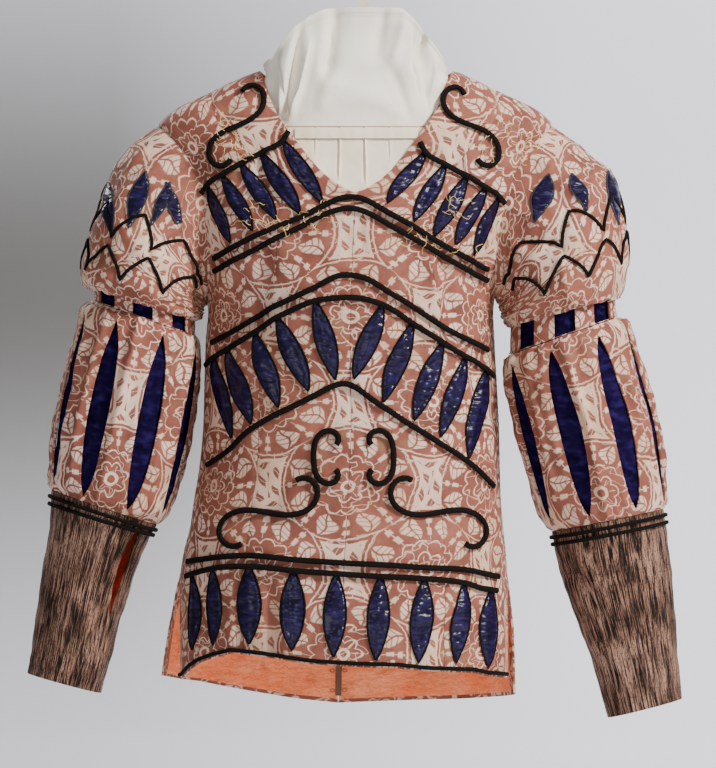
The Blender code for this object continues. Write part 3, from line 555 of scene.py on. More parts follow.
def foldField(x, y, folds):
    # sum of soft ridges and troughs; each row is two ends, a depth and a half width,
    # and a fold fades towards both its ends
    total = np.zeros(np.broadcast(x, y).shape)
    for startX, startY, endX, endY, depth, half in folds:
        dx, dy = endX - startX, endY - startY
        along = ((x - startX) * dx + (y - startY) * dy) / (dx * dx + dy * dy)
        side = ((x - startX) * dy - (y - startY) * dx) / math.hypot(dx, dy)
        fade = np.clip(np.minimum(along, 1 - along) * 3 + 0.35, 0, 1)
        total = total + depth * np.exp(-(side / half) ** 2) * fade * fade * (3 - 2 * fade)
    return total


def waves(x, y, size, depth, shift=0.0):
    # uneven low swell of the cloth: four sines whose directions and lengths differ
    total = 0
    for k, (leanX, leanY) in enumerate(((1.0, 0.31), (-0.42, 1.0), (0.77, -0.8), (0.25, 1.6))):
        total = total + np.sin((x * leanX + y * leanY) / size * (1 + 0.27 * k) + 1.7 * k + shift)
    return 0.25 * depth * total


def lapFolds(degrees, ring, folds, degreeSize, ringSize, shift=0.0):
    # folds round a tube, given in degrees and rings whose sizes are in mm, with a turn before and after
    rows = [(a * degreeSize, b * ringSize, c * degreeSize, d * ringSize, e, f) for a, b, c, d, e, f in folds]
    return sum(foldField((degrees + lap + shift) * degreeSize, ring * ringSize, rows) for lap in (-360, 0, 360))


# Shape of the body

# drop, half width, centre x, front depth, back depth
torso = np.array([
    (90, 88, 5, 26, 29), (97, 106, 5, 32, 36), (110, 137, 4, 44, 50), (124, 165, 4, 55, 63),
    (137, 193, 4, 65, 72), (157, 217, 4, 77, 84), (190, 213, 4, 89, 95), (217, 205, 4, 96, 102),
    (250, 193, 3, 104, 106), (290, 178, 1, 110, 107), (320, 167, 0, 112, 106), (350, 158, -1, 113, 104),
    (395, 159, -2, 111.5, 100), (440, 161, -1.5, 109.5, 97), (490, 163, -1, 108, 95), (540, 166, -3, 108.5, 96),
    (570, 169, -5, 110, 99), (600, 172.5, -6, 112.5, 103), (628, 177.5, -8, 115, 107), (650, 180, -9, 117, 110),
    (700, 180.5, -9, 122, 117), (770, 180, -9, 125, 120), (830, 180, -9, 126, 121)], float)
# drop, how much wider and further left the back runs below the side vents
backFlare = np.array([(650, 0, 0), (712, 10, -3), (761, 15, -6), (830, 17, -7)], float)
# drop, half width of the necklines and of the body at the armhole's edge
frontNeck = np.array([(97, 106), (110, 100.5), (124, 96), (136, 91), (148, 85), (156, 80), (169, 71),
                      (190, 55), (209, 39), (218, 29), (225, 19), (230, 11), (233, 5), (234, 0)], float)
backNeck = np.array([(97, 106), (103, 98), (108, 84), (112, 58), (114, 30), (115, 0)], float)
armhole = np.array([(157, 217), (190, 186), (217, 171), (250, 164), (290, 159), (320, 156),
                    (340, 156.5), (350, 158)], float)
# degrees round from the centre, drop
frontHem = np.array([(-90, 767), (-77, 764), (-60, 747), (-51, 740), (-42, 735), (-30, 738), (-11, 746),
                     (6, 749), (18, 750), (30, 754), (52, 757), (60, 761), (78, 764), (90, 766)], float)
backHem = np.array([(-90, 762), (-75, 765), (-52, 772), (-32, 783), (-14, 793), (0, 798), (20, 795),
                    (44, 792), (70, 787), (90, 783)], float)
# drop of a panel's rows at its centre edge and at its side edge, above the hem
frontRows = [(700, 700), (647, 647), (600, 600), (550, 550), (500, 500), (450, 450), (400, 400), (350, 350),
             (310, 322), (270, 295), (234, 268), (216, 240), (190, 214), (156, 188), (124, 168),
             (110, 163), (102, 159.5), (97, 157)]
backRows = [(740, 725), (695, 690), (650, 650), (600, 600), (550, 550), (500, 500), (450, 450), (400, 400),
            (350, 350), (305, 322), (260, 295), (215, 268), (175, 240), (142, 214), (115, 188), (110, 168),
            (103, 161), (97, 157)]
body = {"cloth": 1.8, "seamGap": 0.32, "armpitDrop": 350.0, "shoulderDrop": 157.0, "princessShare": 0.42,
        "cellSize": 4.2, "armholeInset": 0.022, "foldDepth": 2.3, "swellSize": 34.0, "swellDepth": 3.2,
        "rippleSize": 10.0, "rippleDepth": 1.5, "hemCells": 1, "ventCells": 9, "ventDrop": 646,
        "seamHalf": 2.6, "seamDepth": 0.8, "puckerHalf": 7.0, "puckerDepth": 0.35}

# x and drop of both ends of a fold, its depth (out from the body is positive) and half width
frontFolds = [
    (97, 300, 110, 378, -3.4, 8), (86, 306, 98, 372, 1.8, 8), (-94, 292, -101, 382, -2.2, 9),
    (-128, 330, -96, 352, -1.8, 7), (126, 335, 152, 300, -2.0, 8), (-150, 345, -118, 296, 1.7, 9),
    (8, 262, 11, 300, -1.1, 5), (-6, 258, -4, 305, -0.8, 4), (60, 258, 96, 330, 1.2, 9),
    (-91, 650, -86, 742, -2.2, 6), (-76, 660, -70, 742, 1.4, 6), (41, 660, 36, 745, -1.2, 6),
    (99, 655, 96, 752, -1.4, 5), (140, 648, 134, 758, -1.5, 6), (-40, 655, -44, 740, -0.9, 5),
    (-130, 650, -133, 745, 1.1, 6), (-160, 400, -120, 450, -1.4, 8), (150, 400, 124, 470, -1.5, 8),
    (-30, 300, -44, 345, -1.0, 7), (30, 390, 44, 436, -0.9, 7), (-60, 520, -96, 600, -1.0, 9),
    (70, 520, 100, 600, -1.1, 9), (0, 620, 4, 760, -0.8, 8), (-104, 180, -96, 240, -0.9, 6),
    (112, 175, 120, 240, -1.0, 6), (-170, 200, -146, 280, -1.6, 7), (172, 200, 150, 290, -1.7, 7),
    (-120, 118, -150, 160, -1.2, 8), (118, 116, 152, 158, -1.2, 8)]
backFolds = [
    (70, 180, 40, 330, -2.0, 10), (-72, 176, -46, 320, -2.2, 10), (20, 220, 12, 420, -1.2, 8),
    (-18, 230, -14, 400, -1.4, 8), (120, 300, 90, 420, -2.2, 11), (-118, 296, -96, 410, -2.0, 11),
    (60, 640, 66, 790, 1.8, 10), (-64, 636, -70, 786, 1.6, 10), (110, 620, 118, 775, -2.0, 10),
    (-108, 625, -120, 765, -1.8, 10), (26, 600, 30, 790, -1.4, 8), (-30, 606, -36, 790, -1.5, 8),
    (150, 560, 140, 700, -1.4, 9), (-150, 560, -142, 700, -1.5, 9), (90, 470, 150, 500, -1.3, 9),
    (-92, 474, -150, 506, -1.4, 9)]


def bodySizes(drop, back):
    half, centre = hermite(drop, torso[:, 0], torso[:, 1]), hermite(drop, torso[:, 0], torso[:, 2])
    if back:
        half = half + np.interp(drop, backFlare[:, 0], backFlare[:, 1])
        centre = centre + np.interp(drop, backFlare[:, 0], backFlare[:, 2])
    return half, centre, hermite(drop, torso[:, 0], torso[:, 4 if back else 3])


def bodySurface(angle, drop, back=False):
    # half an ellipse at each height; the angle is in radians from the centre line towards +x
    half, centre, depth = bodySizes(drop, back)
    y = depth * np.cos(angle) * (1 if back else -1)
    return stacked(centre + half * np.sin(angle), y, -np.asarray(drop, float))


def outward(surface, u, v, centre):
    # unit normal from small steps along both directions, turned away from the centre
    alongU = surface(u + 1e-3, v) - surface(u - 1e-3, v)
    alongV = surface(u, v + 1e-2) - surface(u, v - 1e-2)
    normal = unit(np.cross(alongU, alongV))
    return normal * np.sign((normal * centre).sum(-1, keepdims=True) + 1e-12)


def bodyRelief(point, drop, back):
    # folds and low swell of the worn cloth, gone by the shoulder and side seams
    x = point[..., 0]
    relief = body["foldDepth"] * foldField(x, drop, backFolds if back else frontFolds)
    relief = relief + waves(x, drop, body["swellSize"], body["swellDepth"], 2.0 if back else 0.0)
    relief = relief + waves(x, drop * 0.6, body["rippleSize"], body["rippleDepth"], 4.0)
    half, centre, _ = bodySizes(drop, back)
    edge = np.clip((half - abs(x - centre)) / 14.0, 0, 1)
    return relief * edge * np.clip((drop - 100) / 30, 0.15, 1)


def bodyPoint(angle, drop, back=False, out=0.0):
    angle, drop = np.broadcast_arrays(np.asarray(angle, float), np.asarray(drop, float))
    point = bodySurface(angle, drop, back)
    middle = point.copy()
    middle[..., 0] -= bodySizes(drop, back)[1]
    middle[..., 2] = 0
    normal = outward(lambda a, d: bodySurface(a, d, back), angle, drop, middle)
    return point + normal * (np.asarray(out) + bodyRelief(point, drop, back))[..., None], normal


def angleAt(x, drop, back=False):
    half, centre, _ = bodySizes(drop, back)
    return np.arcsin(np.clip((x - centre) / half, -0.985, 0.985))


def onBody(line, back, lift):
    # points and normals on the body along a line of x and drop
    return bodyPoint(angleAt(line[:, 0], line[:, 1], back), line[:, 1], back, lift)


def edgeAngle(table, drop):
    # angle of the neckline or armhole on the ellipse at this height
    return np.arcsin(np.clip(np.interp(drop, table[:, 0], table[:, 1]) / hermite(drop, torso[:, 0], torso[:, 1]), 0, 1))


def panelGrid(side, share, back=False):
    # rows from the hem to the shoulder between a centre and a side edge, then made finer along both ways
    rows, hem, neck = (backRows, backHem, backNeck) if back else (frontRows, frontHem, frontNeck)
    margin = 0.5 * body["seamGap"]
    span = (share[1] - share[0]) * (290 if back else 250)
    columns = int(span / body["cellSize"])
    angles, drops = [], []
    for index in range(len(rows) + 1):
        innerDrop, outerDrop = (hem[0, 1], hem[0, 1]) if index == 0 else rows[index - 1]
        inner = edgeAngle(neck, innerDrop) if innerDrop < neck[-1, 0] else 0.0
        outer = edgeAngle(armhole, outerDrop) if outerDrop < body["armpitDrop"] else math.pi / 2
        width = max(outer - inner, 0.0) * 110 + abs(outerDrop - innerDrop)
        u = np.linspace(share[0] + margin / width, share[1] - margin / width, columns + 1)
        angle, drop = inner + u * (outer - inner), innerDrop + u * (outerDrop - innerDrop)
        if index == len(rows):
            angle = math.pi / 2 - 1.3 * margin / hermite(drop, torso[:, 0], torso[:, 4 if back else 3])
        if index == 0:
            drop = np.interp(side * np.degrees(angle), hem[:, 0], hem[:, 1])
        angles.append(side * angle)
        drops.append(drop)
    angles, drops = np.array(angles), np.array(drops)
    steps = [np.linspace(n, n + 1, max(int(abs(drops[n] - drops[n + 1]).max() / body["cellSize"]), 3), endpoint=False)
             for n in range(len(rows))]
    at = np.append(np.concatenate(steps), len(rows))
    low = np.minimum(at.astype(int), len(rows) - 1)
    t = (at - low)[:, None]
    angle, drop = angles[low] * (1 - t) + angles[low + 1] * t, drops[low] * (1 - t) + drops[low + 1] * t
    if share[0] == 0:
        # the neckline's edge keeps to its own curve between the rows
        edgeDrop = drop[:, 0]
        onNeck = (edgeDrop < neck[-1, 0]) & (edgeDrop > neck[0, 0] + 0.5)
        wanted = np.where(onNeck, edgeAngle(neck, np.clip(edgeDrop, neck[0, 0], None)), 0) * side
        shift = np.where(onNeck, wanted - angle[:, 0], 0)
        angle = angle + shift[:, None] * (1 - np.linspace(0, 1, angle.shape[1])) ** 2
    return angle, drop


def makePanel(name, node, side, share, cut, back=False, clothShift=0.0):
    angles, drops = panelGrid(side, share, back)
    point, normal = bodyPoint(angles, drops, back)
    # seam edges are drawn in and pucker a little
    across = np.concatenate([np.zeros((len(angles), 1)),
                             np.cumsum(np.linalg.norm(np.diff(point, axis=1), axis=-1), axis=1)], 1)
    toSeam = np.minimum(across, across[:, -1:] - across)
    pucker = body["seamDepth"] * np.exp(-(toSeam / body["seamHalf"]) ** 2)
    pucker -= body["puckerDepth"] * np.exp(-(toSeam / body["puckerHalf"]) ** 2) * np.sin(drops * 0.62 + side)
    point = point - normal * pucker[..., None]
    half, _, depth = bodySizes(drops, back)
    places = np.stack([angles * 0.5 * (half + depth) + clothShift, -drops], -1)
    # the cloth is turned in along the hem, and along the side vents of the back
    turned = np.zeros((angles.shape[0] - 1, angles.shape[1] - 1), bool)
    turned[:body["hemCells"]] = True
    if share[1] == 1:
        turned[:, -body["ventCells"]:] = drops[:-1, -1:] > body["ventDrop"]
    made = clothWall(name, point, point - normal * body["cloth"], places, (brocade, lining), turned=turned)
    declareCloth(made, [node], "brocade", *cut)


for side, word, cap in ((-1, "left", "Left"), (1, "right", "Right")):
    makePanel("frontCentre" + cap, "front_centre_" + word, side, (0, body["princessShare"]), (110, 640, 0.84))
    makePanel("frontSide" + cap, "front_side_" + word, side, (body["princessShare"], 1), (140, 660, 0.80),
              clothShift=side * 6)
    makePanel("back" + cap, "back_" + word, side, (0, 1), (235, 700, 0.80), back=True, clothShift=40)
print("body made")


# Shape of the sleeves

# inner x, inner drop, outer x, outer drop, depth of each ring down a sleeve
leftSleeve = np.array([
    (158, 350, 217, 157, 54), (161, 354, 246, 180, 64), (163, 357, 266, 214, 72), (164, 360, 280, 250, 78),
    (165, 362, 292, 296, 81), (165, 365, 299, 322, 81), (167, 372, 295, 334, 76), (171, 371, 286, 335, 66),
    (171, 390, 286, 350, 65), (166, 398, 296, 356, 70), (167, 425, 302, 382, 73), (171, 455, 310, 412, 74),
    (177, 492, 319, 452, 73), (185, 530, 327, 492, 70), (194, 562, 331, 528, 66), (204, 588, 333, 549, 62),
    (214, 597, 331, 558, 57)], float)
rightSleeve = np.array([
    (158, 350, 217, 157, 54), (161, 354, 241, 174, 64), (163, 358, 266, 195, 72), (165, 362, 287, 214, 78),
    (166, 366, 299, 256, 81), (166, 371, 303, 314, 82), (169, 378, 299, 342, 77), (173, 377, 291, 346, 67),
    (172, 410, 293, 368, 66), (166, 418, 301, 374, 70), (168, 440, 309, 398, 73), (174, 468, 320, 438, 74),
    (182, 500, 331, 474, 73), (191, 535, 338, 512, 70), (199, 565, 343, 548, 66), (207, 591, 345, 570, 62),
    (219, 604, 343, 579, 58)], float)
leftCuff = np.array([(214.6, 597.4, 330.6, 558.6, 56.6), (230, 627, 333, 600, 47), (245, 671, 340, 643, 43),
                     (256, 706, 347, 693, 39), (266, 747, 353, 735, 36), (276, 782, 357, 760, 34)], float)
rightCuff = np.array([(219.6, 604.5, 342.6, 579.5, 57.6), (227, 642, 348, 620, 49), (237, 674, 352, 655, 45),
                      (253, 718, 356, 700, 41), (264, 748, 359, 742, 38), (281, 809, 363, 788, 36)], float)
sleeve = {"gatherRing": 7, "lastRing": 16, "columns": 150, "rowStep": 3.2, "degreeSize": 1.3, "ringSize": 30.0,
          "turning": 6.0, "underInset": 5.4, "push": 2.7, "slashPush": 0.9, "slashHalf": 0.2, "underCloth": 1.0,
          "bandCloth": 1.6, "bulge": 3.0, "clothScale": 74.0, "cordDip": 1.6, "cordDipHalf": 4.0,
          "slashRings": (8.03, 9, 10.2, 11.5, 13, 14.4, 15.4, 15.98), "slashWidths": (0, 0, 8, 12, 11, 6, 0, 0)}
# number of gathers at a seam, seed, depth, half width in radians, and the rings where they start and end
seamGathers = {"puffTop": (26, 3, 3.4, 0.075, 0.0, 2.8), "puffFoot": (22, 9, 3.4, 0.085, 7.0, 4.0),
               "underTop": (24, 21, 1.2, 0.08, 8.0, 12.0), "underFoot": (24, 31, 1.2, 0.08, 16.0, 12.5),
               "lowerTop": (30, 41, 3.4, 0.065, 8.0, 11.6), "lowerFoot": (28, 51, 3.4, 0.07, 16.0, 12.6)}


def armholeLoop(turn, side):
    # loop of the armhole: 90 degrees is the shoulder tip, 0 the front edge and -90 the armpit
    middle = 0.5 * (body["shoulderDrop"] + body["armpitDrop"])
    reach = 0.5 * (body["armpitDrop"] - body["shoulderDrop"])
    inset = 1 - body["armholeInset"]
    angle = math.pi / 2 - (math.pi / 2 - edgeAngle(armhole, middle - reach * np.sin(turn))) * inset
    drop = middle - reach * inset * np.sin(turn)
    front, back = bodySurface(side * angle, drop), bodySurface(side * angle, drop, True)
    return np.where((np.cos(turn) > 0)[..., None], front, back)


def ringValue(table, ring, column):
    return hermite(ring, np.arange(len(table), dtype=float), table[:, column])


def ringPoint(sizes, turn, side):
    innerX, innerDrop, outerX, outerDrop, depth = sizes
    x = 0.5 * (innerX + outerX + (outerX - innerX) * np.sin(turn)) * side
    drop = 0.5 * (innerDrop + outerDrop + (outerDrop - innerDrop) * np.sin(turn))
    return stacked(x, -depth * np.cos(turn), -drop)


def sleeveSurface(table, side, turn, ring):
    # ellipse between the inner and outer end of each ring; the first ones follow the armhole
    point = ringPoint([ringValue(table, ring, k) for k in range(5)], turn, side)
    if len(table) > sleeve["gatherRing"] + 1:
        fade = np.clip(1 - ring / 3, 0, 1) ** 2
        point = point + (armholeLoop(turn, side) - ringPoint(table[0], turn, side)) * np.asarray(fade)[..., None]
    return point


def sleevePoint(table, side, turn, ring, out=0.0):
    turn, ring = np.broadcast_arrays(np.asarray(turn, float), np.asarray(ring, float))
    point = sleeveSurface(table, side, turn, ring)
    middleX = 0.5 * (ringValue(table, ring, 0) + ringValue(table, ring, 2)) * side
    middleDrop = 0.5 * (ringValue(table, ring, 1) + ringValue(table, ring, 3))
    centre = point - np.stack([middleX, np.zeros_like(middleX), -middleDrop], -1)
    at = np.clip(ring, 0.02, len(table) - 1.02)
    normal = outward(lambda a, r: sleeveSurface(table, side, a, r), turn, at, centre)
    return point + normal * np.asarray(out)[..., None], normal


def ringRows(first, last, table, step):
    # even steps down the sleeve between two rings
    fine = np.linspace(first, last, 400)
    middle = sleeveSurface(table, 1, np.full(400, 0.4), fine)
    run = runOf(middle)
    return np.interp(np.linspace(0, run[-1], int(run[-1] / step) + 1), run, fine), run[-1]


def gathers(turn, ring, seam, side):
    # uneven pleats drawn in at a seam: a row of ridges whose place, depth and lean differ, fading with the ring
    count, seed, depth, half, firstRing, lastRing = seamGathers[seam]
    own = np.random.default_rng(seed + side)
    total = np.zeros(np.broadcast(turn, ring).shape)
    fade = np.clip((ring - lastRing) / (firstRing - lastRing), 0, 1)
    for k in range(count):
        centre = 2 * math.pi * (k + own.uniform(-0.3, 0.3)) / count + own.uniform(-0.05, 0.05) * (ring - firstRing)
        away = (turn - centre + math.pi) % (2 * math.pi) - math.pi
        total = total + own.uniform(0.5, 1.5) * np.exp(-(away / (half * own.uniform(0.7, 1.3))) ** 2)
    return depth * (total - 0.9) * fade ** 1.3


def fullFolds(relief, deepest=2.4):
    # troughs stop short of the satin below, ridges keep their height
    return np.where(relief < 0, deepest * np.tanh(relief / deepest), relief)


petals = {"count": 9, "power": 0.65, "high": (47, 39, 0.0), "low": (5, 35, 0.5)}


def petalHeights(turn):
    # height of the two rows of pointed petals above the lowest ring of the puff
    rows = []
    for valley, rise, shift in (petals["high"], petals["low"]):
        wave = 1 - abs(2 * ((turn * petals["count"] / (2 * math.pi) + shift) % 1) - 1)
        rows.append(valley + rise * wave ** petals["power"])
    return rows


def puffHeight(table, side, turn):
    # distance up from the puff's lowest ring, at 80 rings for each turn
    fine = np.linspace(0.0, 5, 80)
    run = sleeveSurface(table, side, np.asarray(turn)[:, None], fine[None, :])
    step = np.linalg.norm(np.diff(run, axis=1), axis=-1)
    return fine, np.concatenate([np.cumsum(step[:, ::-1], 1)[:, ::-1], np.zeros((len(step), 1))], 1)


def heightAt(table, side, turn, ring):
    fine, heights = puffHeight(table, side, turn)
    low = np.clip(np.searchsorted(fine, ring) - 1, 0, len(fine) - 2)
    t = np.clip((ring - fine[low]) / (fine[low + 1] - fine[low]), 0, 1)
    return (heights[:, low] * (1 - t) + heights[:, low + 1] * t).T


# degrees round and ring of both ends of a fold down the upper puff, its depth and half width in mm
puffFolds = {
    "left": [(35, 0.3, 50, 2.6, 2.6, 8), (5, 0.2, 12, 2.2, -2.4, 7), (70, 0.4, 66, 3.0, -2.2, 8),
             (-30, 0.4, -40, 3.2, 2.0, 8), (-58, 1.0, -62, 4.2, -2.6, 8), (100, 0.3, 110, 3.4, 2.0, 9),
             (140, 0.4, 130, 3.0, -2.4, 9), (175, 0.3, 188, 3.2, 2.2, 9), (215, 0.4, 208, 3.4, -2.2, 9),
             (20, 3.2, 26, 5.6, -1.8, 6), (-8, 3.6, -14, 5.8, 1.6, 6), (58, 3.4, 54, 5.8, 1.8, 6)],
    "right": [(10, 0.2, 26, 2.0, -3.0, 7), (38, 0.4, 34, 3.0, 2.6, 8), (60, 0.3, 76, 2.4, -2.6, 8),
              (-24, 0.6, -16, 3.0, 2.2, 8), (-48, 0.8, -56, 4.0, -2.8, 8), (104, 0.4, 98, 3.0, 2.2, 9),
              (144, 0.3, 152, 3.4, -2.2, 9), (182, 0.4, 176, 3.0, 2.4, 9), (216, 0.3, 226, 3.2, -2.4, 9),
              (30, 2.8, 40, 5.6, -2.4, 7), (-4, 3.4, 2, 5.8, 1.8, 6), (64, 3.2, 72, 5.8, -1.8, 6)],
}


def puffRelief(table, side, word, turns, rings):
    # folds of the table, gathers at both seams, and cloth pinched in along the petals' cords
    turn, ring = np.broadcast_arrays(turns[None, :], rings[:, None])
    degrees = np.degrees(turn)
    relief = 1.7 * lapFolds(degrees, ring, puffFolds[word], sleeve["degreeSize"], sleeve["ringSize"])
    for seam in ("puffTop", "puffFoot"):
        relief = relief + gathers(turn, ring, seam, side)
    relief = fullFolds(relief + waves(degrees * sleeve["degreeSize"], ring * sleeve["ringSize"], 12.0, 2.0, side))
    height = heightAt(table, side, turns, rings)
    high, low = petalHeights(turns)
    for line in (high, low):
        relief = relief - sleeve["cordDip"] * np.exp(-((height - line[None, :]) / sleeve["cordDipHalf"]) ** 2)
    relief = relief + 1.6 * np.clip((high[None, :] - height) / 14, 0, 1) * (ring < 5)
    return relief * np.clip(ring / 0.5, 0, 1) * np.clip((sleeve["gatherRing"] - ring) / 0.6, 0, 1)


def sleevePlaces(turns, rings, lengthTo):
    across, down = np.broadcast_arrays(turns[None, :] * sleeve["clothScale"], -lengthTo[:, None])
    return np.stack([across, down], -1)


def makeUpperPuff(word, table, side):
    rings, length = ringRows(0.0, sleeve["gatherRing"] - 0.02, table, sleeve["rowStep"])
    turns = np.linspace(0, 2 * math.pi, sleeve["columns"] + 1)
    relief = puffRelief(table, side, word, turns[:-1], rings)
    outer, normal = sleevePoint(table, side, turns[None, :-1], rings[:, None], relief)
    # a few millimetres of the seam's turning run on inside the armhole
    turning = outer[:1] - np.array([side * sleeve["turning"], 0, 0])
    outer, normal = np.concatenate([turning, outer]), np.concatenate([normal[:1], normal])
    along = np.concatenate([[-sleeve["turning"]], np.linspace(0, length, len(rings))])
    places = sleevePlaces(turns * 1.05 + 2.0, rings, along)
    made = clothWall("upperPuff" + word.title(), outer, outer - normal * body["cloth"], places, (brocade, brocade),
                     wrap=True)
    declareCloth(made, ["upper_puff_" + word], "brocade", 440, 190, 0.9, "gathered")


def underRelief(turn, ring, side):
    folds = gathers(turn, ring, "underTop", side) + gathers(turn, ring, "underFoot", side)
    return folds + waves(np.degrees(turn) * sleeve["degreeSize"], ring * sleeve["ringSize"], 9.0, 0.9, 3 + side)


def makeUnderSleeve(word, table, side, offset):
    # the satin runs straight past the fold that overhangs the band, and swells out through the slashes
    knots = np.array([0, 1.5, 3, 4.2, 7, 8, 9, 10.5, 12.5, 14.5, 15.6])
    rings = np.concatenate([np.linspace(a, b, 6, endpoint=False) for a, b in zip(knots, knots[1:])] + [knots[-1:]])
    low = np.clip(np.searchsorted(knots, rings, side="right") - 1, 0, len(knots) - 2)
    t = ((rings - knots[low]) / (knots[low + 1] - knots[low]))[:, None, None]
    turns = np.linspace(0, 2 * math.pi, 121)
    ends, normals = sleevePoint(table, side, turns[None, :-1], knots[:, None], -sleeve["underInset"])
    outer = ends[low] * (1 - t) + ends[low + 1] * t
    normal = normals[low] * (1 - t) + normals[low + 1] * t
    relief = underRelief(turns[None, :-1], rings[:, None], side)
    window = np.clip((rings - 9.0) / 0.9, 0, 1) * np.clip((15.4 - rings) / 0.9, 0, 1)
    for slash in np.radians(np.arange(-67.5, 270, 45) + offset):
        away = (turns[None, :-1] - slash + math.pi) % (2 * math.pi) - math.pi
        relief = relief + sleeve["slashPush"] * np.exp(-(away / sleeve["slashHalf"]) ** 4) * window[:, None]
    relief = relief + sleeve["push"] * window[:, None]
    outer = outer + normal * relief[..., None]
    places = sleevePlaces(turns, rings, rings * sleeve["ringSize"])
    made = clothWall("underSleeve" + word.title(), outer, outer - normal * sleeve["underCloth"], places,
                     (innerSatin, innerSatin), wrap=True)
    declareCloth(made, ["under_sleeve_upper_" + word, "under_sleeve_lower_" + word], "satin", 430, 430, 0.9)


def makeBand(word, table, side):
    # eight square windows between brocade tabs, with the satin behind
    edges = np.radians(np.arange(-11.25, 348, 22.5))
    inside = np.linspace(0, 1, 7, endpoint=False)
    turns = np.append((edges[:, None] + inside[None, :] * math.radians(22.5)).ravel(), edges[0] + 2 * math.pi)
    rings = np.concatenate([[0.03, 0.06, 0.1], np.linspace(0.1, 0.93, 10)[1:], [0.95, 0.97]]) + sleeve["gatherRing"]
    turn, ring = np.broadcast_arrays(turns[None, :-1], rings[:, None])
    relief = 0.5 * np.sin(turn * 8) * np.sin((ring - sleeve["gatherRing"]) * math.pi)
    relief = relief + waves(np.degrees(turn), ring * sleeve["ringSize"], 10, 0.4)
    outer, normal = sleevePoint(table, side, turn, ring, relief)
    keep = np.ones((len(rings) - 1, len(turns) - 1), bool)
    window = (np.arange(len(turns) - 1) // len(inside)) % 2 == 0
    keep[2:11] = ~window[None, :]
    places = sleevePlaces(turns, rings, rings * sleeve["ringSize"])
    made = clothWall("sleeveBand" + word.title(), outer, outer - normal * sleeve["bandCloth"], places,
                     (brocade, brocade), wrap=True, keep=keep)
    declareCloth(made, ["sleeve_band_" + word], "brocade", 400, 24, 0.66)


# degrees round and ring of both ends of a fold down the lower puff, its depth and half width in mm
lowerFolds = [
    (-84, 8.2, -80, 14.0, -2.0, 6), (-56, 8.2, -50, 13.5, 1.8, 6), (-47, 8.3, -40, 12.6, -2.4, 5),
    (-33, 8.2, -36, 15.0, 1.6, 5), (-8, 8.2, -3, 13.8, -2.6, 6), (2, 8.2, 8, 15.6, 2.0, 6),
    (15, 8.2, 12, 11.5, -2.0, 5), (34, 8.2, 40, 14.6, 1.8, 6), (46, 8.2, 44, 12.8, -2.6, 5),
    (55, 9.6, 52, 15.8, 1.8, 5), (82, 8.2, 84, 15.2, -2.0, 6), (104, 8.2, 100, 14.4, 1.9, 6),
    (127, 8.2, 133, 15.0, -2.3, 6), (141, 8.2, 138, 13.2, 1.8, 6),
    (172, 8.2, 178, 15.2, -2.4, 6), (188, 8.2, 184, 13.8, 2.0, 6), (218, 8.2, 224, 15.0, -2.4, 6),
    (232, 8.3, 228, 13.6, 1.8, 6), (262, 8.2, 258, 14.8, -1.9, 6)]


def lowerRelief(turn, ring, side):
    degrees = np.degrees(turn)
    relief = 1.8 * lapFolds(degrees, ring, lowerFolds, sleeve["degreeSize"], sleeve["ringSize"], 6 if side > 0 else 0)
    for seam in ("lowerTop", "lowerFoot"):
        relief = relief + gathers(turn, ring, seam, side)
    relief = fullFolds(relief + waves(degrees * sleeve["degreeSize"], ring * sleeve["ringSize"], 12.0, 2.4, 1 + side))
    return relief * np.clip((ring - 8.0) / 0.4, 0.2, 1) * np.clip((sleeve["lastRing"] - ring) / 0.4, 0.2, 1)


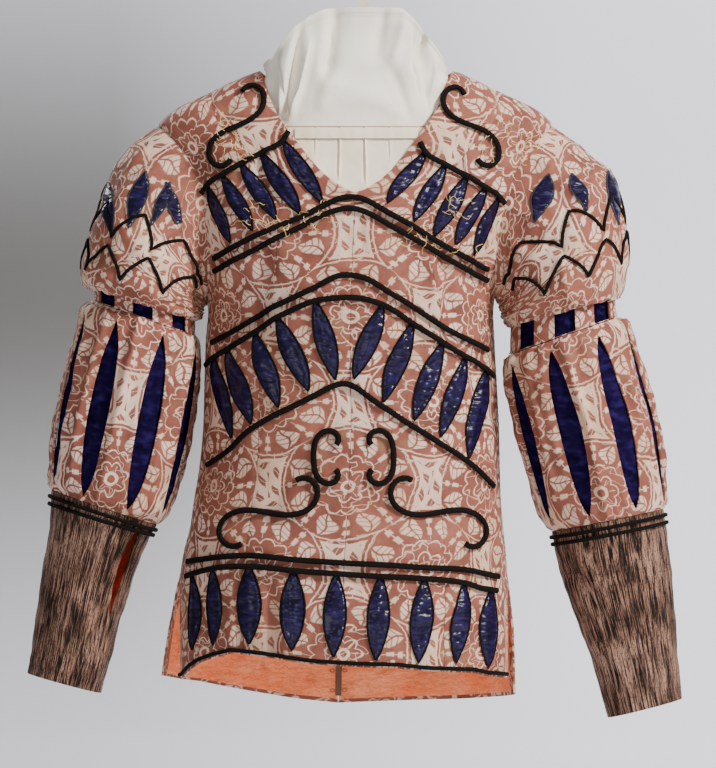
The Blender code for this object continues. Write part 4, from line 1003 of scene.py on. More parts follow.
def makeLowerPuff(word, table, side, offset, front):
    # half a sleeve in five strips; strips part along four slashes by the row's width and meet above and below
    middle = 0 if front else 180
    edge = math.degrees(0.5 * body["seamGap"] / 70)
    stops = np.array([-90 + edge, -67.5, -22.5, 22.5, 67.5, 90 - edge]) + middle + offset
    rings, length = ringRows(sleeve["slashRings"][0], sleeve["lastRing"] - 0.02, table, sleeve["rowStep"])
    width = hermite(rings, np.array(sleeve["slashRings"]), np.array(sleeve["slashWidths"], float))
    width = np.where((rings > 9.25) & (rings < 15.35), np.clip(width, 0, None), 0)
    part = width / ringValue(table, rings, 4)
    grids, lips, slits, column = [], [], [], 0
    for index in range(5):
        low, high = np.radians(stops[index]), np.radians(stops[index + 1])
        count = max(int((stops[index + 1] - stops[index]) / 1.9), 8)
        share = np.linspace(0, 1, count + 1)[None, :]
        start = low + (part * (index > 0))[:, None]
        end = high - (part * (index < 4))[:, None]
        grids.append(start + share * (end - start))
        fromStart, fromEnd = share[0] * count / 3.0, (1 - share[0]) * count / 3.0
        lips.append(np.maximum((index > 0) * np.exp(-fromStart ** 2), (index < 4) * np.exp(-fromEnd ** 2)))
        slits.append(column + count)
        column += count + 1
    turn = np.concatenate(grids, 1)
    lip = np.concatenate(lips)[None, :]
    ring = np.broadcast_to(rings[:, None], turn.shape)
    share = (ring - rings[0]) / (rings[-1] - rings[0])
    opened = np.clip(width / 3, 0, 1)[:, None]
    out = sleeve["bulge"] * np.sin(math.pi * share) * (1 - 0.75 * lip * opened)
    relief = lowerRelief(turn, ring, side) * (1 - 0.8 * lip * opened)
    outer, normal = sleevePoint(table, side, turn, ring, out + relief)
    keep = np.ones((turn.shape[0] - 1, turn.shape[1] - 1), bool)
    weld = np.arange(turn.size).reshape(turn.shape)
    for slit in slits[:-1]:
        keep[:, slit] = False
        shut = width == 0
        weld[shut, slit + 1] = weld[shut, slit]
    flat = stacked(turn * sleeve["clothScale"], -np.linspace(0, length, len(rings))[:, None])
    name = "lowerPuff" + ("Front" if front else "Back") + word.title()
    made = clothWall(name, outer, outer - normal * body["cloth"], flat, (brocade, brocade), keep=keep,
                     weld=weld.ravel())
    node = "lower_puff_%s_%s" % ("front" if front else "back", word)
    declareCloth(made, [node], "brocade", 240, 215, 0.85, "gathered")


# degrees round and ring of both ends of a fold of the cuff, its depth and half width in mm
cuffFolds = {
    "left": [(-46, 0.8, -30, 4.2, -4.0, 7), (-22, 2.2, -12, 5.2, 2.6, 8), (-60, 2.6, -44, 5.0, 2.4, 7),
             (20, 0.6, 34, 2.6, -1.6, 9), (8, 2.8, 60, 3.4, -1.6, 7), (110, 0.5, 130, 4.2, -2.4, 10),
             (190, 0.6, 176, 4.0, 2.0, 10), (240, 1.0, 226, 4.4, -2.0, 9)],
    "right": [(-56, 1.0, -8, 3.6, -3.6, 8), (-40, 0.5, -20, 2.2, 2.2, 8), (10, 1.0, 22, 4.6, -2.2, 9),
              (-30, 3.4, 0, 4.6, -2.0, 7), (42, 0.4, 50, 3.6, 1.8, 9), (116, 0.5, 130, 4.0, -2.2, 10),
              (180, 0.8, 196, 4.4, 2.2, 10), (236, 0.6, 224, 4.0, -2.0, 9)],
}


cuff = {"degreeSize": 0.75, "ringSize": 40.0, "cloth": 1.4, "clothScale": 50.0, "slit": (1.5, 4.5, 3.5, 0, 0, 0),
        "hemRing": 4.72, "columns": 110, "rows": 62}


def makeCuff(word, table, side, slit):
    # a tube whose slit, where it has one, parts at the top and closes by its third ring
    rings = np.linspace(0, 5, cuff["rows"])
    start = math.radians(slit if slit is not None else 180)
    part = np.zeros(len(rings))
    if slit is not None:
        part = hermite(rings, np.arange(6.0), np.array(cuff["slit"])) / ringValue(table, rings, 4)
        part = np.where(rings < 2.95, np.clip(part, 0, None), 0)
    share = np.linspace(0, 1, cuff["columns"] + 1)[None, :]
    turn = start + part[:, None] + share * (2 * math.pi - 2 * part[:, None])
    ring = np.broadcast_to(rings[:, None], turn.shape)
    degrees = np.degrees(turn)
    relief = lapFolds(degrees, ring, cuffFolds[word], cuff["degreeSize"], cuff["ringSize"])
    relief = relief + waves(degrees * cuff["degreeSize"], ring * cuff["ringSize"], 11.0, 1.0, side)
    hem = -0.5 * np.exp(-((ring - cuff["hemRing"]) / 0.05) ** 2)
    relief = relief * np.clip(ring / 0.5, 0, 1) * np.clip((5.0 - ring) / 0.3, 0.4, 1) + hem
    outer, normal = sleevePoint(table, side, turn, ring, relief)
    flat = np.stack([turn * cuff["clothScale"], -ring * cuff["ringSize"]], -1)
    weld = np.arange(turn.size).reshape(turn.shape)
    shut = part == 0
    weld[shut, -1] = weld[shut, 0]
    made = clothWall("cuff" + word.title(), outer, outer - normal * cuff["cloth"], flat, (lame, lining),
                     weld=weld.ravel())
    declareCloth(made, ["cuff_" + word], "lame", 285, 220, 0.85)


settings = ((-1, "left", leftSleeve, leftCuff, 0.0, -48.0), (1, "right", rightSleeve, rightCuff, 7.5, None))
for side, word, table, cuffTable, offset, slit in settings:
    makeUpperPuff(word, table, side)
    makeUnderSleeve(word, table, side, offset)
    makeBand(word, table, side)
    makeLowerPuff(word, table, side, offset, True)
    makeLowerPuff(word, table, side, offset, False)
    makeCuff(word, cuffTable, side, slit)
print("sleeves made")


# Collar, band, dickey and hanging tape

neck = {"centre": 4.0, "half": 98.5, "power": 3.6, "front": 70.0, "back": 42.0, "bandLift": 1.9, "cloth": 1.4,
        "backPower": 2.3, "flare": 0.05, "creaseDepth": 2.1, "swellSize": 13.0, "swellDepth": 3.2, "dickeyDrop": 162.0}
# degrees round the neck from the front, drop of the sewn edge, drop of the hemmed top edge, lean back
collarTable = np.array([(-180, 128, 84, -4), (-130, 124, 85, -4), (-105, 116, 90, -2), (-90, 112, 93, 2),
                        (-70, 134, 86, 4), (-55, 158, 73, 8), (-38, 161, 58, 14), (-20, 161, 41, 22), (-5, 161, 30, 26),
                        (18, 161, 31, 24), (32, 161, 45, 18), (50, 160, 67, 12), (66, 140, 81, 6), (90, 112, 93, 2),
                        (105, 116, 90, -2), (130, 124, 85, -4), (180, 128, 84, -4)], float)
# degrees of a main fold at the sewn edge and at the top, depth, half width in degrees
collarFolds = [(-38, -14, 7, 9), (-58, -62, 6, 8), (14, 4, 5, 9), (52, 34, 6, 8)]
# degrees and height of both ends of a smaller crease, depth and half width
collarCreases = [(-46, 0.02, -26, 0.95, -5.2, 3.4), (-36, 0.03, -20, 0.8, 3.6, 4.5), (-8, 0.4, -4, 1.05, -4.2, 3.0),
                 (28, 0.5, 44, 1.02, -4.2, 3.0), (-60, 0.1, -66, 0.9, -3.6, 4.0), (20, 0.02, -10, 0.4, 1.6, 5.0),
                 (-40, 0.05, -52, 0.7, -2.2, 3.0),
                 (4, 0.55, 8, 1.0, -1.8, 2.6), (12, 0.5, 22, 0.95, 1.6, 3.5), (34, 0.3, 30, 0.9, -1.8, 3.0),
                 (46, 0.05, 58, 0.8, 1.8, 3.0), (-66, 0.2, -74, 0.8, -1.6, 3.0), (24, 0.05, 12, 0.5, -1.2, 3.0),
                 (-10, 0.1, -6, 0.5, 1.4, 4.0), (140, 0.1, 150, 0.9, -1.6, 5), (-150, 0.1, -140, 0.9, -1.8, 5),
                 (170, 0.1, 160, 0.9, 1.5, 5), (110, 0.1, 118, 0.9, 1.5, 5), (-112, 0.1, -120, 0.9, -1.5, 5)]


def collarPlan(turn):
    # squarer in front, rounder behind
    power = np.where(np.cos(turn) > 0, neck["power"], neck["backPower"])
    depth = np.where(np.cos(turn) > 0, neck["front"], neck["back"])
    x = neck["half"] * np.sign(np.sin(turn)) * abs(np.sin(turn)) ** (2 / power) + neck["centre"]
    return x, -depth * np.sign(np.cos(turn)) * abs(np.cos(turn)) ** (2 / power)


def collarSurface(turn, height):
    degrees = np.degrees(turn)
    x, y = collarPlan(turn)
    base, top, lean = (np.interp(degrees, collarTable[:, 0], collarTable[:, k]) for k in (1, 2, 3))
    fold = 0
    for low, high, depth, half in collarFolds:
        at = low + (high - low) * height
        along = 0.25 + 0.75 * abs(np.sin(math.pi * height)) ** 0.7
        fold = fold - depth * np.exp(-((degrees - at) / half) ** 2) * along
    flare = neck["flare"] * np.exp(-((abs(degrees) - 88) / 24) ** 2)
    narrow = 1 + (flare - 0.03) * height ** 2 + fold / 90 * np.clip(height * 3, 0, 1)
    drop = base + (top - base) * height
    return np.stack([neck["centre"] + (x - neck["centre"]) * narrow, y * narrow + lean * height, -drop], -1)


def collarPoint(turn, height, out=0.0):
    turn, height = np.broadcast_arrays(np.asarray(turn, float), np.asarray(height, float))
    point = collarSurface(turn, height)
    along = collarSurface(turn + 1e-3, height) - collarSurface(turn - 1e-3, height)
    up = collarSurface(turn, height + 1e-3) - collarSurface(turn, height - 1e-3)
    normal = unit(np.cross(along, up))
    folds = [(a, b * 60, c, d * 60, e, f) for a, b, c, d, e, f in collarCreases]
    relief = neck["creaseDepth"] * foldField(np.degrees(turn), height * 60, folds)
    relief = relief + waves(np.degrees(turn), height * 70, neck["swellSize"], neck["swellDepth"])
    relief = relief * np.clip(height * 5, 0, 1)
    return point + normal * (relief + out)[..., None], normal


def makeCollar():
    turn = np.radians(np.linspace(-179.7, 179.7, 241))[None, :]
    height = np.linspace(0, 1, 44)[:, None]
    rolled = 0.9 * np.exp(-((height - 0.985) / 0.02) ** 2) - 0.5 * np.exp(-((height - 0.93) / 0.015) ** 2)
    outer, normal = collarPoint(turn, height, rolled + 0 * turn)
    flat = stacked(turn * 70.0, height * 90.0)
    made = clothWall("collarTall", outer, outer - normal * neck["cloth"], flat, (whiteWool, whiteWool))
    declareCloth(made, ["collar"], "white_cloth", 470, 135, 0.55)


def dickeyGrid(x, share):
    # from the collar's sewn edge down behind the neckline
    topDrop = neck["dickeyDrop"]
    topY = -neck["front"] * (1 - (abs(x - neck["centre"]) / neck["half"]) ** neck["power"]) ** (1 / neck["power"])
    low = np.interp(abs(x - neck["centre"]), frontNeck[::-1, 1], frontNeck[::-1, 0]) + 11
    low = np.maximum(low, topDrop + 8)
    half, centre, depth = bodySizes(low, False)
    lowY = -depth * np.sqrt(1 - ((x - centre) / half) ** 2) + body["cloth"] + 1.2
    return stacked(x, topY + share * (lowY - topY), -(topDrop + share * (low - topDrop)))


# x of a tuck, how deep its shadow fold is, how far down it is sewn
tucks = [(-40, 0.8, 0.62), (-14, 1.9, 0.80), (13, 1.9, 0.80), (40, 0.8, 0.62)]


def makeDickey():
    x = np.linspace(-80, 88, 225)[None, :]
    share = np.linspace(0, 1, 34)[:, None]
    outer = dickeyGrid(x, share)
    lift = 0.4 * np.sin(x * 0.11 + 1) * np.sin(share * 3.1)
    for at, depth, end in tucks:
        lean = at + 1.6 * share * np.sign(at)
        along = np.clip((end - share) / 0.12, 0, 1)
        ridge, trough = np.exp(-((x - lean - 1.3) / 1.2) ** 2), np.exp(-((x - lean + 0.9) / 0.8) ** 2)
        lift = lift + along * depth * (ridge - 1.1 * trough)
        lift = lift + (1 - along) * 0.8 * np.exp(-((x - lean) / 5.0) ** 2)
    inner = outer + np.array([0, neck["cloth"], 0.3])
    outer = outer.copy()
    outer[..., 1] -= lift
    flat = stacked(x, -share * 70)
    made = clothWall("dickeyFront", outer, inner, flat, (muslin, muslin))
    declareCloth(made, ["dickey"], "white_cloth", 185, 85, 0.62)
    x = np.linspace(-62, 72, 90)[None, :]
    lowest = dickeyGrid(x, np.ones((1, 1)))[..., 2]
    height = np.linspace(1.0, 12.0, 9)[:, None]
    inner = dickeyGrid(x, height / (-neck["dickeyDrop"] - lowest)) - np.array([0, neck["bandLift"], 0])
    crown = 0.5 * np.sin(np.pi * (height - 1) / 11) + 0.15 * np.sin(x * 0.5)
    outer = inner - np.array([0, neck["cloth"], 0.4]) - np.stack([0 * crown, crown, 0 * crown], -1)
    flat = stacked(x, -height)
    made = clothWall("neckBand", outer, inner, flat, (muslin, muslin))
    declareCloth(made, ["collar_band"], "white_cloth", 150, 12)


def makeTape():
    # folded tape whose two ends are sewn inside the front of the collar
    line = smoothLine([(-1.4, -54), (-1.4, -30), (-1.4, -3), (-0.7, -0.9), (0.7, -0.9), (1.4, -3), (1.4, -30),
                       (1.4, -54)], 1.5)
    away = np.stack([np.gradient(line[:, 1]) * -1, np.gradient(line[:, 0])], -1)
    away = unit(away)
    across = np.linspace(-6, 6, 9)
    inner, outer = (stacked((hangPoint[0] + across)[None, :], hangPoint[1] + edge[:, :1], edge[:, 1:])
                    for edge in (line, line + away * 0.9))
    flat = stacked(across[None, :], np.arange(len(line))[:, None] * 1.5)
    made = clothWall("hangingTape", outer, inner, flat, (muslin, muslin))
    declareCloth(made, ["hanging_tape"], "white_cloth", 12, 110)


makeCollar()
makeDickey()
makeTape()
print("neck made")


# Cords

cordSize = {"width": 6.4, "height": 4.4, "lift": 0.9, "thinWidth": 3.68, "thinHeight": 3.2, "twist": 0.42,
            "ridge": 0.07, "wander": 0.45, "curl": 4.0, "hem": (4.5, 3.4), "cuff": (4.2, 3.0),
            "cuffRings": (0.16, 0.36)}
chevrons = {
    "cord_chest_chevron_upper": [(-151, 305), (-116, 287), (-57, 262), (0, 240), (53, 264), (102, 293), (148, 317)],
    "cord_chest_chevron_lower": [(-150, 319), (-103, 295), (-60, 274), (-2, 252), (53, 277), (102, 305), (147, 329)],
    "cord_waist_chevron_upper": [(-152, 397), (-130, 385), (-86, 359), (-42, 339), (-8, 324), (9, 326), (46, 346),
                                 (105, 384), (147, 405)],
    "cord_belly_chevron": [(-158, 531), (-132, 513), (-110, 493), (-80, 475), (-47, 458), (-10, 442), (32, 466),
                           (65, 488), (95, 507), (124, 528), (153, 554)],
    "cord_hem_upper": [(-178, 637), (-148, 632), (-113, 629), (-64, 633), (-14, 636), (40, 639), (80, 642),
                       (127, 645), (160, 653)],
}
# x and drop of a scroll's middle, lean in degrees, half length, and whether it is a C or an S
scrolls = {
    "belly_scroll": (92, 582, -10, 98, False),
    "belly_curl": (43, 522, 90, 59, True),
    "shoulder_scroll": (128, 161, 20, 80, False),
}


def pieceName(node):
    words = node.split("_")
    return words[0] + "".join(word.title() for word in words[1:])


def wander(path, seed):
    # the small unevenness of a line sewn by hand
    own = np.random.default_rng(seed)
    run = np.arange(len(path))
    drift = sum(np.sin(run / own.uniform(2.5, 9) + own.uniform(0, 6)) for _ in range(4)) * 0.25
    side = unit(np.gradient(path, axis=0)[:, ::-1] * np.array([1, -1]))
    return path + side * (drift * cordSize["wander"])[:, None]


def layCord(node, path, normals, width=cordSize["width"], height=cordSize["height"], closed=False):
    parts = ropeParts(path + normals * 0.47 * height, normals, 0.5 * width, 0.5 * height, 12, closed,
                      cordSize["twist"], 3, cordSize["ridge"])
    joinParts(pieceName(node), [parts], braid, [node])


def layBodyCord(node, line, lift=cordSize["lift"], back=False, seed=1, step=2.4):
    line = wander(smoothLine(line, step), seed)
    layCord(node, *onBody(line, back, lift))


def scrollLine(side, centreX, centreDrop, lean, size, cShaped):
    # line whose curvature grows evenly from the middle to both curled ends
    s = np.linspace(-1, 1, 201)
    turn = math.radians(lean) + cordSize["curl"] * (s * abs(s) if cShaped else s * s)
    step = size * (s[1] - s[0])
    x, drop = np.cumsum(np.cos(turn)) * step, np.cumsum(np.sin(turn)) * step
    return np.stack([side * (x - x[100] + centreX) + 2, drop - drop[100] + centreDrop], -1)


def petalPath(table, side, offset, lift):
    turns = np.radians(np.linspace(-50, 230, 190))
    fine, heights = puffHeight(table, side, turns)
    high, low = petalHeights(turns)
    wanted = np.minimum(low if offset else high, 0.8 * heights[:, 4])
    rings = np.array([np.interp(-w, -h, fine) for w, h in zip(wanted, heights)])
    relief = np.diagonal(puffRelief(table, side, "left" if side < 0 else "right", turns, rings)).copy()
    return sleevePoint(table, side, turns, rings, lift + relief)


for seed, (node, line) in enumerate(chevrons.items()):
    layBodyCord(node, line, seed=seed)
for side, word in ((-1, "left"), (1, "right")):
    for name, values in scrolls.items():
        layBodyCord("cord_" + name + "_" + word, scrollLine(side, *values), seed=20 + side)
    line = [(side * x, drop) for x, drop in ((6, 646), (60, 645), (120, 643), (160, 640))]
    layBodyCord("cord_back_upper_" + word, line, back=True, seed=30 + side)
degrees = np.linspace(-82, 80, 130)
drops = np.interp(degrees, frontHem[:, 0], frontHem[:, 1]) - 0.6 * cordSize["width"]
point, normal = bodyPoint(np.radians(degrees), drops, False, cordSize["lift"])
layCord("cord_hem_edge", point, normal, *cordSize["hem"])
for side, word, table, cuffTable, offset, slit in settings:
    for row, half in (("high", 0), ("low", 1)):
        point, normal = petalPath(table, side, half, 0.6)
        layCord("cord_petals_%s_%s" % (row, word), point, normal, cordSize["thinWidth"], cordSize["thinHeight"])
    turns = np.radians(np.arange(0, 360, 2.5))
    for row, ring in zip(("upper", "lower"), cordSize["cuffRings"]):
        point, normal = sleevePoint(cuffTable, side, turns, np.full(len(turns), ring), 1.0)
        layCord("cord_cuff_%s_%s" % (word, row), point, normal, *cordSize["cuff"], closed=True)
print("cords made")


# Satin leaves

# x and drop of a leaf's top and of its tip, and its half width; then the drops of the cord's ends
leafRows = {
    "leaves_chest_left": ("cord_chest_left", [
        (-159, 226, -131, 288, 8), (-141, 214, -107, 276, 9), (-120, 202, -82, 264, 10),
        (-98, 190, -56, 258, 11), (-74, 177, -32, 246, 10)], 234, 168),
    "leaves_chest_right": ("cord_chest_right", [
        (79, 190, 38, 246, 10), (101, 203, 67, 266, 10), (124, 216, 90, 282, 10),
        (144, 228, 113, 291, 9), (160, 238, 133, 302, 8)], 180, 245),
    "leaves_waist": ("cord_waist_chevron_lower", [
        (-151, 414, -130, 502, 8), (-136, 405, -108, 486, 11), (-106, 386, -79, 468, 11), (-80, 370, -47, 450, 12),
        (-39, 352, -18, 438, 11), (33, 356, 2, 437, 11), (65, 376, 34, 462, 11), (97, 397, 67, 482, 11),
        (124, 413, 96, 500, 10), (147, 427, 125, 524, 9)], 422, 434),
    "leaves_hem": ("cord_hem_lower", [
        (-173, 651, -171, 733, 7), (-150, 644, -150, 727, 8), (-111, 641, -112, 725, 13), (-63, 645, -65, 731, 13),
        (-17, 648, -20, 738, 12), (31, 651, 26, 742, 12), (78, 654, 72, 745, 12), (122, 659, 113, 746, 10),
        (151, 667, 147, 752, 9)], 653, 668),
}
backLeaves = [(16, 662, 17, 756, 11), (60, 660, 62, 752, 12), (104, 658, 107, 746, 12), (148, 655, 151, 736, 9)]
leaf = {"cloth": 0.7, "lift": 0.9, "crown": 1.5, "rows": 40, "columns": 15, "edgeWidth": 2.3,
        "shares": (0.0, 0.22, 0.45, 0.72, 0.9, 1.0), "swells": (0.16, 0.72, 1.0, 0.8, 0.36, 0.0),
        "wrinkles": ((0.05, 0.95), (-0.18, 0.18), (-0.8, 0.7), (0.02, 0.05))}


def leafParts(topX, top, tipX, tip, half, back, seed):
    # an almond between top and tip, crowned in the middle, with uneven cross wrinkles; its edge is also returned
    own = np.random.default_rng(seed)
    s = np.linspace(0, 1, leaf["rows"])[:, None]
    t = np.linspace(-1, 1, leaf["columns"])[None, :]
    swell = hermite(s, np.array(leaf["shares"]), np.array(leaf["swells"]))
    x = topX + s * (tipX - topX) + t * half * swell
    drop = top + 1 + s * (tip - top - 1) + 0 * t
    crown = leaf["crown"] * np.sqrt(np.clip(1 - t * t, 0, 1)) * np.sin(math.pi * np.clip(s * 0.96 + 0.03, 0, 1)) ** 0.5
    wrinkles = 0
    for _ in range(7):
        at, lean, depth, wide = (own.uniform(*limits) for limits in leaf["wrinkles"])
        wrinkles = wrinkles + depth * np.exp(-((s - at - lean * t) / wide) ** 2)
    lengthwise = 0.5 * np.sin(t * 5 + own.uniform(0, 6)) * np.sin(math.pi * s)
    relief = (wrinkles + lengthwise) * np.clip((1 - t * t) * 1.6, 0, 1) * np.clip(swell * 2, 0, 1)
    angle = angleAt(x, drop, back)
    outer, normal = bodyPoint(angle, drop, back, leaf["lift"] + crown + relief)
    flat = stacked(t * half + topX, -s * (tip - top) - top)
    edgeX = np.concatenate([x[:, 0], x[::-1, -1]])
    edgeDrop = np.concatenate([drop[:, 0], drop[::-1, -1]])
    edge = smoothLine(np.stack([edgeX, edgeDrop], -1)[[n for n in range(len(edgeX)) if n != leaf["rows"]]], 2.6)
    rope = ropeParts(*onBody(edge, back, leaf["lift"] + 0.4), 0.5 * leaf["edgeWidth"], 0.9, 6)
    return shellParts(outer, outer - normal * leaf["cloth"], flat), rope


def leafRow(node, cordNode, leaves, startDrop, endDrop, back=False, side=1, seed=0):
    leaves = sorted((side * topX, top, side * tipX, tip, half) for topX, top, tipX, tip, half in leaves)
    shells, ropes = zip(*[leafParts(*row, back, seed * 50 + place) for place, row in enumerate(leaves)])
    made = joinParts(pieceName(node), shells, satin, hard=80)
    widths, length = sum(2 * row[4] for row in leaves), max(row[3] - row[1] for row in leaves) + 6
    declareCloth(made, [node], "satin", widths, 1.15 * length, 0.6, "stretched")
    joinParts(pieceName(node) + "Edges", ropes, braid)
    first, last = leaves[0], leaves[-1]
    reach = [3 if abs(row[0]) > 60 else 6 for row in (first, last)]
    line = [(first[0] - reach[0] - 2.5, startDrop), *(row[:2] for row in leaves), (last[0] + reach[1] + 2.5, endDrop)]
    layBodyCord(cordNode, line, lift=1.6, back=back, seed=seed)


for seed, (node, (cordNode, leaves, start, end)) in enumerate(leafRows.items()):
    leafRow(node, cordNode, leaves, start, end, seed=seed + 1)
for side, word in ((-1, "left"), (1, "right")):
    leafRow("leaves_back_" + word, "cord_back_lower_" + word, backLeaves, 662 if side > 0 else 655,
            655 if side > 0 else 662, back=True, side=side, seed=8 + side)
print("leaves made")


# Satin kites between the petals of the upper puffs

# x and drop of a kite's top and foot, its half width; the same ones lie on the back of the puff
kites = {
    "left": [(268, 221, 262, 282, 7.0), (224, 212, 243, 273, 10.0), (199, 222, 219, 269, 7.0),
             (203, 222, 185, 277, 7.0)],
    "right": [(215, 214, 200, 266, 12.0), (240, 213, 257, 253, 8.5), (281, 208, 291, 268, 7.5)],
}


def faceOn(table, side, x, drop, back):
    # turn and ring of the puff's points seen at x and drop: nearest of a grid, then Newton steps
    middle = math.pi if back else 0.0
    turns, rings = np.meshgrid(middle + np.linspace(-1.3, 1.3, 53), np.linspace(0.1, 5.4, 54))
    grid = sleeveSurface(table, side, turns.ravel(), rings.ravel())
    near = np.argmin((x.reshape(-1, 1) - grid[:, 0]) ** 2 + (drop.reshape(-1, 1) + grid[:, 2]) ** 2, 1)
    turn, ring = turns.ravel()[near].reshape(x.shape), rings.ravel()[near].reshape(x.shape)
    for _ in range(8):
        point = sleeveSurface(table, side, turn, ring)
        byTurn = (sleeveSurface(table, side, turn + 1e-3, ring) - point) * 1e3
        byRing = (sleeveSurface(table, side, turn, ring + 1e-3) - point) * 1e3
        gapX, gapZ = x - point[..., 0], -drop - point[..., 2]
        area = byTurn[..., 0] * byRing[..., 2] - byTurn[..., 2] * byRing[..., 0]
        area = np.where(abs(area) < 200, np.inf, area)
        turn = turn + np.clip((gapX * byRing[..., 2] - gapZ * byRing[..., 0]) / area, -0.1, 0.1)
        ring = ring + np.clip((byTurn[..., 0] * gapZ - byTurn[..., 2] * gapX) / area, -0.3, 0.3)
    return np.clip(turn, middle - 1.45, middle + 1.45), np.clip(ring, 0.1, 5.6)


def kiteParts(table, side, word, back, topX, top, footX, foot, half, seed):
    # a flame shape, widest above its middle, crossed by small wrinkles
    own = np.random.default_rng(seed)
    s = np.linspace(0, 1, 30)[:, None]
    t = np.linspace(-1, 1, 13)[None, :]
    swell = hermite(s, np.array([0.0, 0.25, 0.45, 0.75, 1.0]), np.array([0.03, 0.8, 1.0, 0.55, 0.03]))
    bend = own.uniform(-0.25, 0.25) * half * np.sin(math.pi * s)
    x = side * (topX + s * (footX - topX)) + t * half * swell + bend
    turn, ring = faceOn(table, side, x, top + s * (foot - top) + 0 * t, back)
    relief = np.array([np.diagonal(puffRelief(table, side, word, *row)) for row in zip(turn, ring)])
    crown = 1.1 * np.sqrt(np.clip(1 - t * t, 0, 1)) + 0.6 * np.sin(s * 19 + t + own.uniform(0, 6)) * (1 - t * t)
    outer, normal = sleevePoint(table, side, turn, ring, relief + 0.9 + crown)
    flat = stacked(t * half + topX, -s * 60)
    around = [n for n in range(60) if n != 30]
    edge = np.concatenate([outer[:, 0], outer[::-1, -1]])[around]
    edgeNormal = np.concatenate([normal[:, 0], normal[::-1, -1]])[around]
    return shellParts(outer, outer - normal * 0.7, flat), ropeParts(edge, edgeNormal, 0.9, 0.7, 6)


for side, word, table, *_ in settings:
    shells, ropes = zip(*[kiteParts(table, side, word, back, *row, 70 + place)
                          for back in (False, True) for place, row in enumerate(kites[word])])
    made = joinParts("satinKites" + word.title(), shells, satin, hard=80)
    declareCloth(made, (), "satin", 170, 75, 0.55, "stretched")
    joinParts("satinKiteEdges" + word.title(), ropes, blackThread)
print("kites made")


# Loose threads, stitches, tape and hooks

# x and drop of a tuft, its spread in x and in drop, and its number of threads
tufts = [(-131, 174, 14, 8, 9), (-114, 193, 10, 8, 8), (-107, 262, 5, 14, 7), (-68, 271, 22, 6, 12),
         (-40, 266, 18, 5, 10), (-66, 160, 12, 6, 4), (108, 257, 5, 10, 9), (75, 286, 20, 8, 10),
         (112, 298, 14, 8, 6), (168, 163, 14, 6, 9), (185, 185, 6, 12, 8), (150, 190, 14, 8, 6), (-140, 160, 10, 8, 6)]


def makeThreads():
    parts = []
    for place, (x, drop, spreadX, spreadDrop, count) in enumerate(tufts):
        own = np.random.default_rng(100 + place)
        for _ in range(count):
            length, steps = own.uniform(7, 26), 12
            heading = own.uniform(0, 2 * math.pi) + np.cumsum(own.normal(0, 0.5, steps))
            line = np.stack([x + own.normal(0, 0.6) * spreadX + np.cumsum(np.cos(heading)) * length / steps,
                             drop + own.normal(0, 0.6) * spreadDrop + np.cumsum(np.sin(heading)) * length / steps], -1)
            lift = 1.2 + 2.6 * np.sin(np.linspace(0, math.pi, steps)) * own.uniform(0.2, 1.6) + own.uniform(0, 3.5)
            parts.append(ropeParts(*onBody(line, False, lift), own.uniform(0.18, 0.34), 0.22, 4))
    joinParts("goldThreads", parts, goldThread)


def stitchParts(path, normals, length, gap, thick):
    # short threads along a line, each bowed down at both ends
    run = runOf(path)
    parts = []
    for start in np.arange(gap, run[-1] - length, length + gap):
        at = start + np.linspace(0, length, 5)
        point = np.stack([np.interp(at, run, path[:, k]) for k in range(3)], -1)
        normal = np.stack([np.interp(at, run, normals[:, k]) for k in range(3)], -1)
        bow = np.sin(np.linspace(0, math.pi, 5))[:, None] * thick
        parts.append(ropeParts(point + normal * bow, normal, 0.5 * thick, 0.4 * thick, 4))
    return parts


def makeStitches():
    dark, pale = [], []
    for side, word, table, cuffTable, offset, slit in settings:
        turns = np.radians(np.linspace(0, 360, 120))
        point, normal = sleevePoint(cuffTable, side, turns, np.full(120, cuff["hemRing"]), 0.0)
        dark += stitchParts(point, normal, 2.4, 1.6, 0.45)
    turn = np.radians(np.linspace(-75, 75, 200))
    for height in (0.93, 0.955):
        point, normal = collarPoint(turn, np.full(200, height), 0.15)
        pale += stitchParts(point, normal, 2.0, 1.2, 0.35)
    joinParts("cuffStitches", dark, blackThread)
    red = []
    for side in (-1, 1):
        drop = np.linspace(655, 752, 60)
        for inset in (42.0, 50.0):
            angle = side * (math.pi / 2 - inset / 120)
            point, normal = bodyPoint(np.full(60, angle), drop, True, -body["cloth"] - 0.2)
            red += stitchParts(point, -normal, 1.6, 5.0, 0.7)
    joinParts("ventStitches", red, redThread)
    joinParts("collarStitches", pale, creamThread)


def makeBackOpening():
    # a brown strip inside the centre back opening, which it closes, with hooks on both sides
    drop = np.linspace(130, 790, 120)[:, None]
    x = np.linspace(-3.5, 3.5, 5)[None, :]
    angle = np.arcsin(x / bodySizes(drop, True)[0])
    inner, normal = bodyPoint(angle + 0 * drop, drop + 0 * x, True, -body["cloth"] - 1.2)
    outer = inner + normal * 0.8
    parts = [shellParts(outer, inner, stacked(x, -drop))]
    declareCloth(joinParts("backOpeningTape", parts, tapeCloth), (), "braid", 10, 665, 0.7218, "stretched")
    hooks = []
    for drop in (240, 330, 420, 510, 600, 690, 762, 784):
        for side in (-1, 1):
            turn = np.linspace(0, 2 * math.pi, 15)[:-1]
            x, down = side * 7.0 + 2.6 * np.cos(turn), drop + 1.7 * np.sin(turn)
            point, normal = bodyPoint(np.arcsin(x / bodySizes(down, True)[0]), down, True, -body["cloth"] - 2.2)
            hooks.append(ropeParts(point, normal, 0.4, 0.4, 6, closed=True))
    joinParts("backHooks", hooks, hookMetal)


makeThreads()
makeStitches()
makeBackOpening()
print("threads, stitches and back opening made")


# Studio

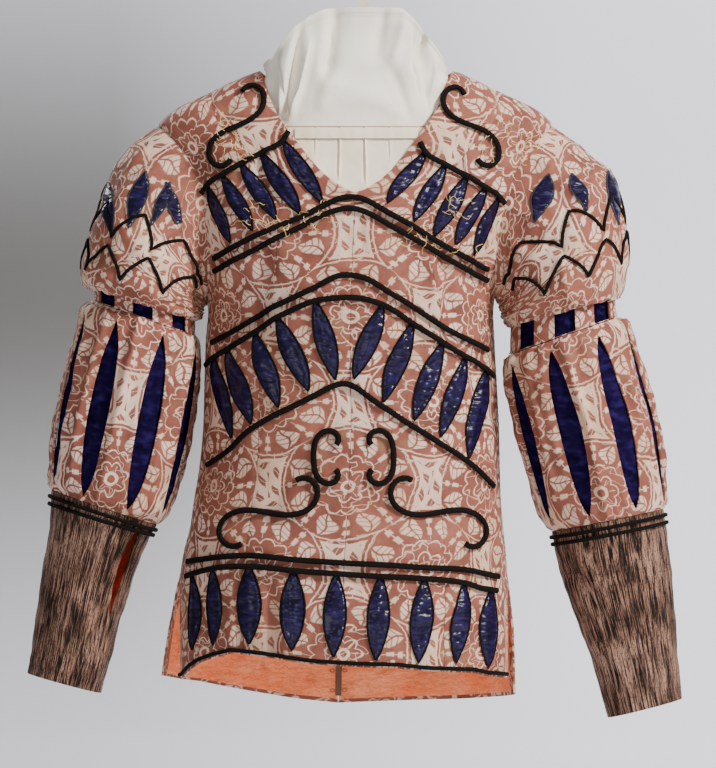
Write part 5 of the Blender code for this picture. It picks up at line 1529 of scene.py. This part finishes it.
studio = {"width": 44.0, "floorDrop": 1.35, "front": -14.0, "wall": 13.0, "curve": 1.6, "height": 12.0,
          "paper": (0.86, 0.86, 0.90), "shaded": (0.155, 0.150, 0.142), "air": (0.85, 0.88, 0.95, 1), "airPower": 0.24}
# place in metres, side in metres, watts, colour and the point it shines at
lights = {
    "keyLight": ((3.0, -2.3, 2.2), 0.8, 400, (1.0, 0.98, 0.96), (0, 0, -0.42)),
    "fillLight": ((-1.6, -4.0, -0.5), 1.6, 44, (0.95, 0.97, 1.0), (0, 0, -0.42)),
    "topLight": ((0.0, -0.6, 2.6), 1.4, 30, (1, 1, 1), (0, 0, -0.42)),
    "backLight": ((-2.2, 3.4, 1.6), 1.6, 60, (1, 1, 1), (0, 0, -0.42)),
    "wallLight": ((3.2, 8.5, 5.2), 3.0, 800, (1, 1, 1), (1.2, 13.0, -0.5)),
}


def makeStudio():
    # floor and wall in one sheet, joined by a quarter circle
    low, wall, curve = -studio["floorDrop"], studio["wall"], studio["curve"]
    bend = np.linspace(0, math.pi / 2, 17)
    y = np.concatenate([[studio["front"]], wall - curve + curve * np.sin(bend), [wall]])
    z = np.concatenate([[low], low + curve - curve * np.cos(bend), [studio["height"]]])
    x = np.array([-0.5, 0.5]) * studio["width"]
    points = stacked(x[None, :], y[:, None], z[:, None]).reshape(-1, 3)
    quads = gridCells(len(y), 2, False)[0].reshape(-1, 4)
    mesh = bpy.data.meshes.new("studioSheet")
    mesh.from_pydata(points.tolist(), [], quads.tolist())
    mesh.shade_smooth()
    made, tree, shader = makeMaterial("studioPaper", 0.9, specular=0.1)
    px, py, pz = objectPlace(tree)
    # darker to the left and half way up
    shade = (1.0 - (px + 60.0).above(0.0, 1300.0)) * (-((pz + 160.0) / 1050.0).power(2.0)).through("EXPONENT")
    colour = mixColour(tree, shade.clip(), studio["paper"], studio["shaded"])
    tree.links.new(colour, shader.inputs["Base Color"])
    mesh.materials.append(made)
    sheetObject = bpy.data.objects.new("studioSheet", mesh)
    bpy.context.scene.collection.objects.link(sheetObject)


def addLight(name, place, size, power, colour, aim):
    data = bpy.data.lights.new(name, "AREA")
    data.shape, data.size, data.size_y, data.energy, data.color = "RECTANGLE", size, size, power, colour
    light = bpy.data.objects.new(name, data)
    light.location = place
    toward = np.array(aim) - np.array(place)
    flat = math.hypot(toward[0], toward[1])
    light.rotation_euler = (math.atan2(flat, -toward[2]), 0, math.atan2(toward[1], toward[0]) - math.pi / 2)
    bpy.context.scene.collection.objects.link(light)


makeStudio()
for name, values in lights.items():
    addLight(name, *values)
world = bpy.data.worlds.new("studioAir")
bpy.context.scene.world = world
world.use_nodes = True
world.node_tree.nodes["Background"].inputs[0].default_value = studio["air"]
world.node_tree.nodes["Background"].inputs[1].default_value = studio["airPower"]
print("studio made")
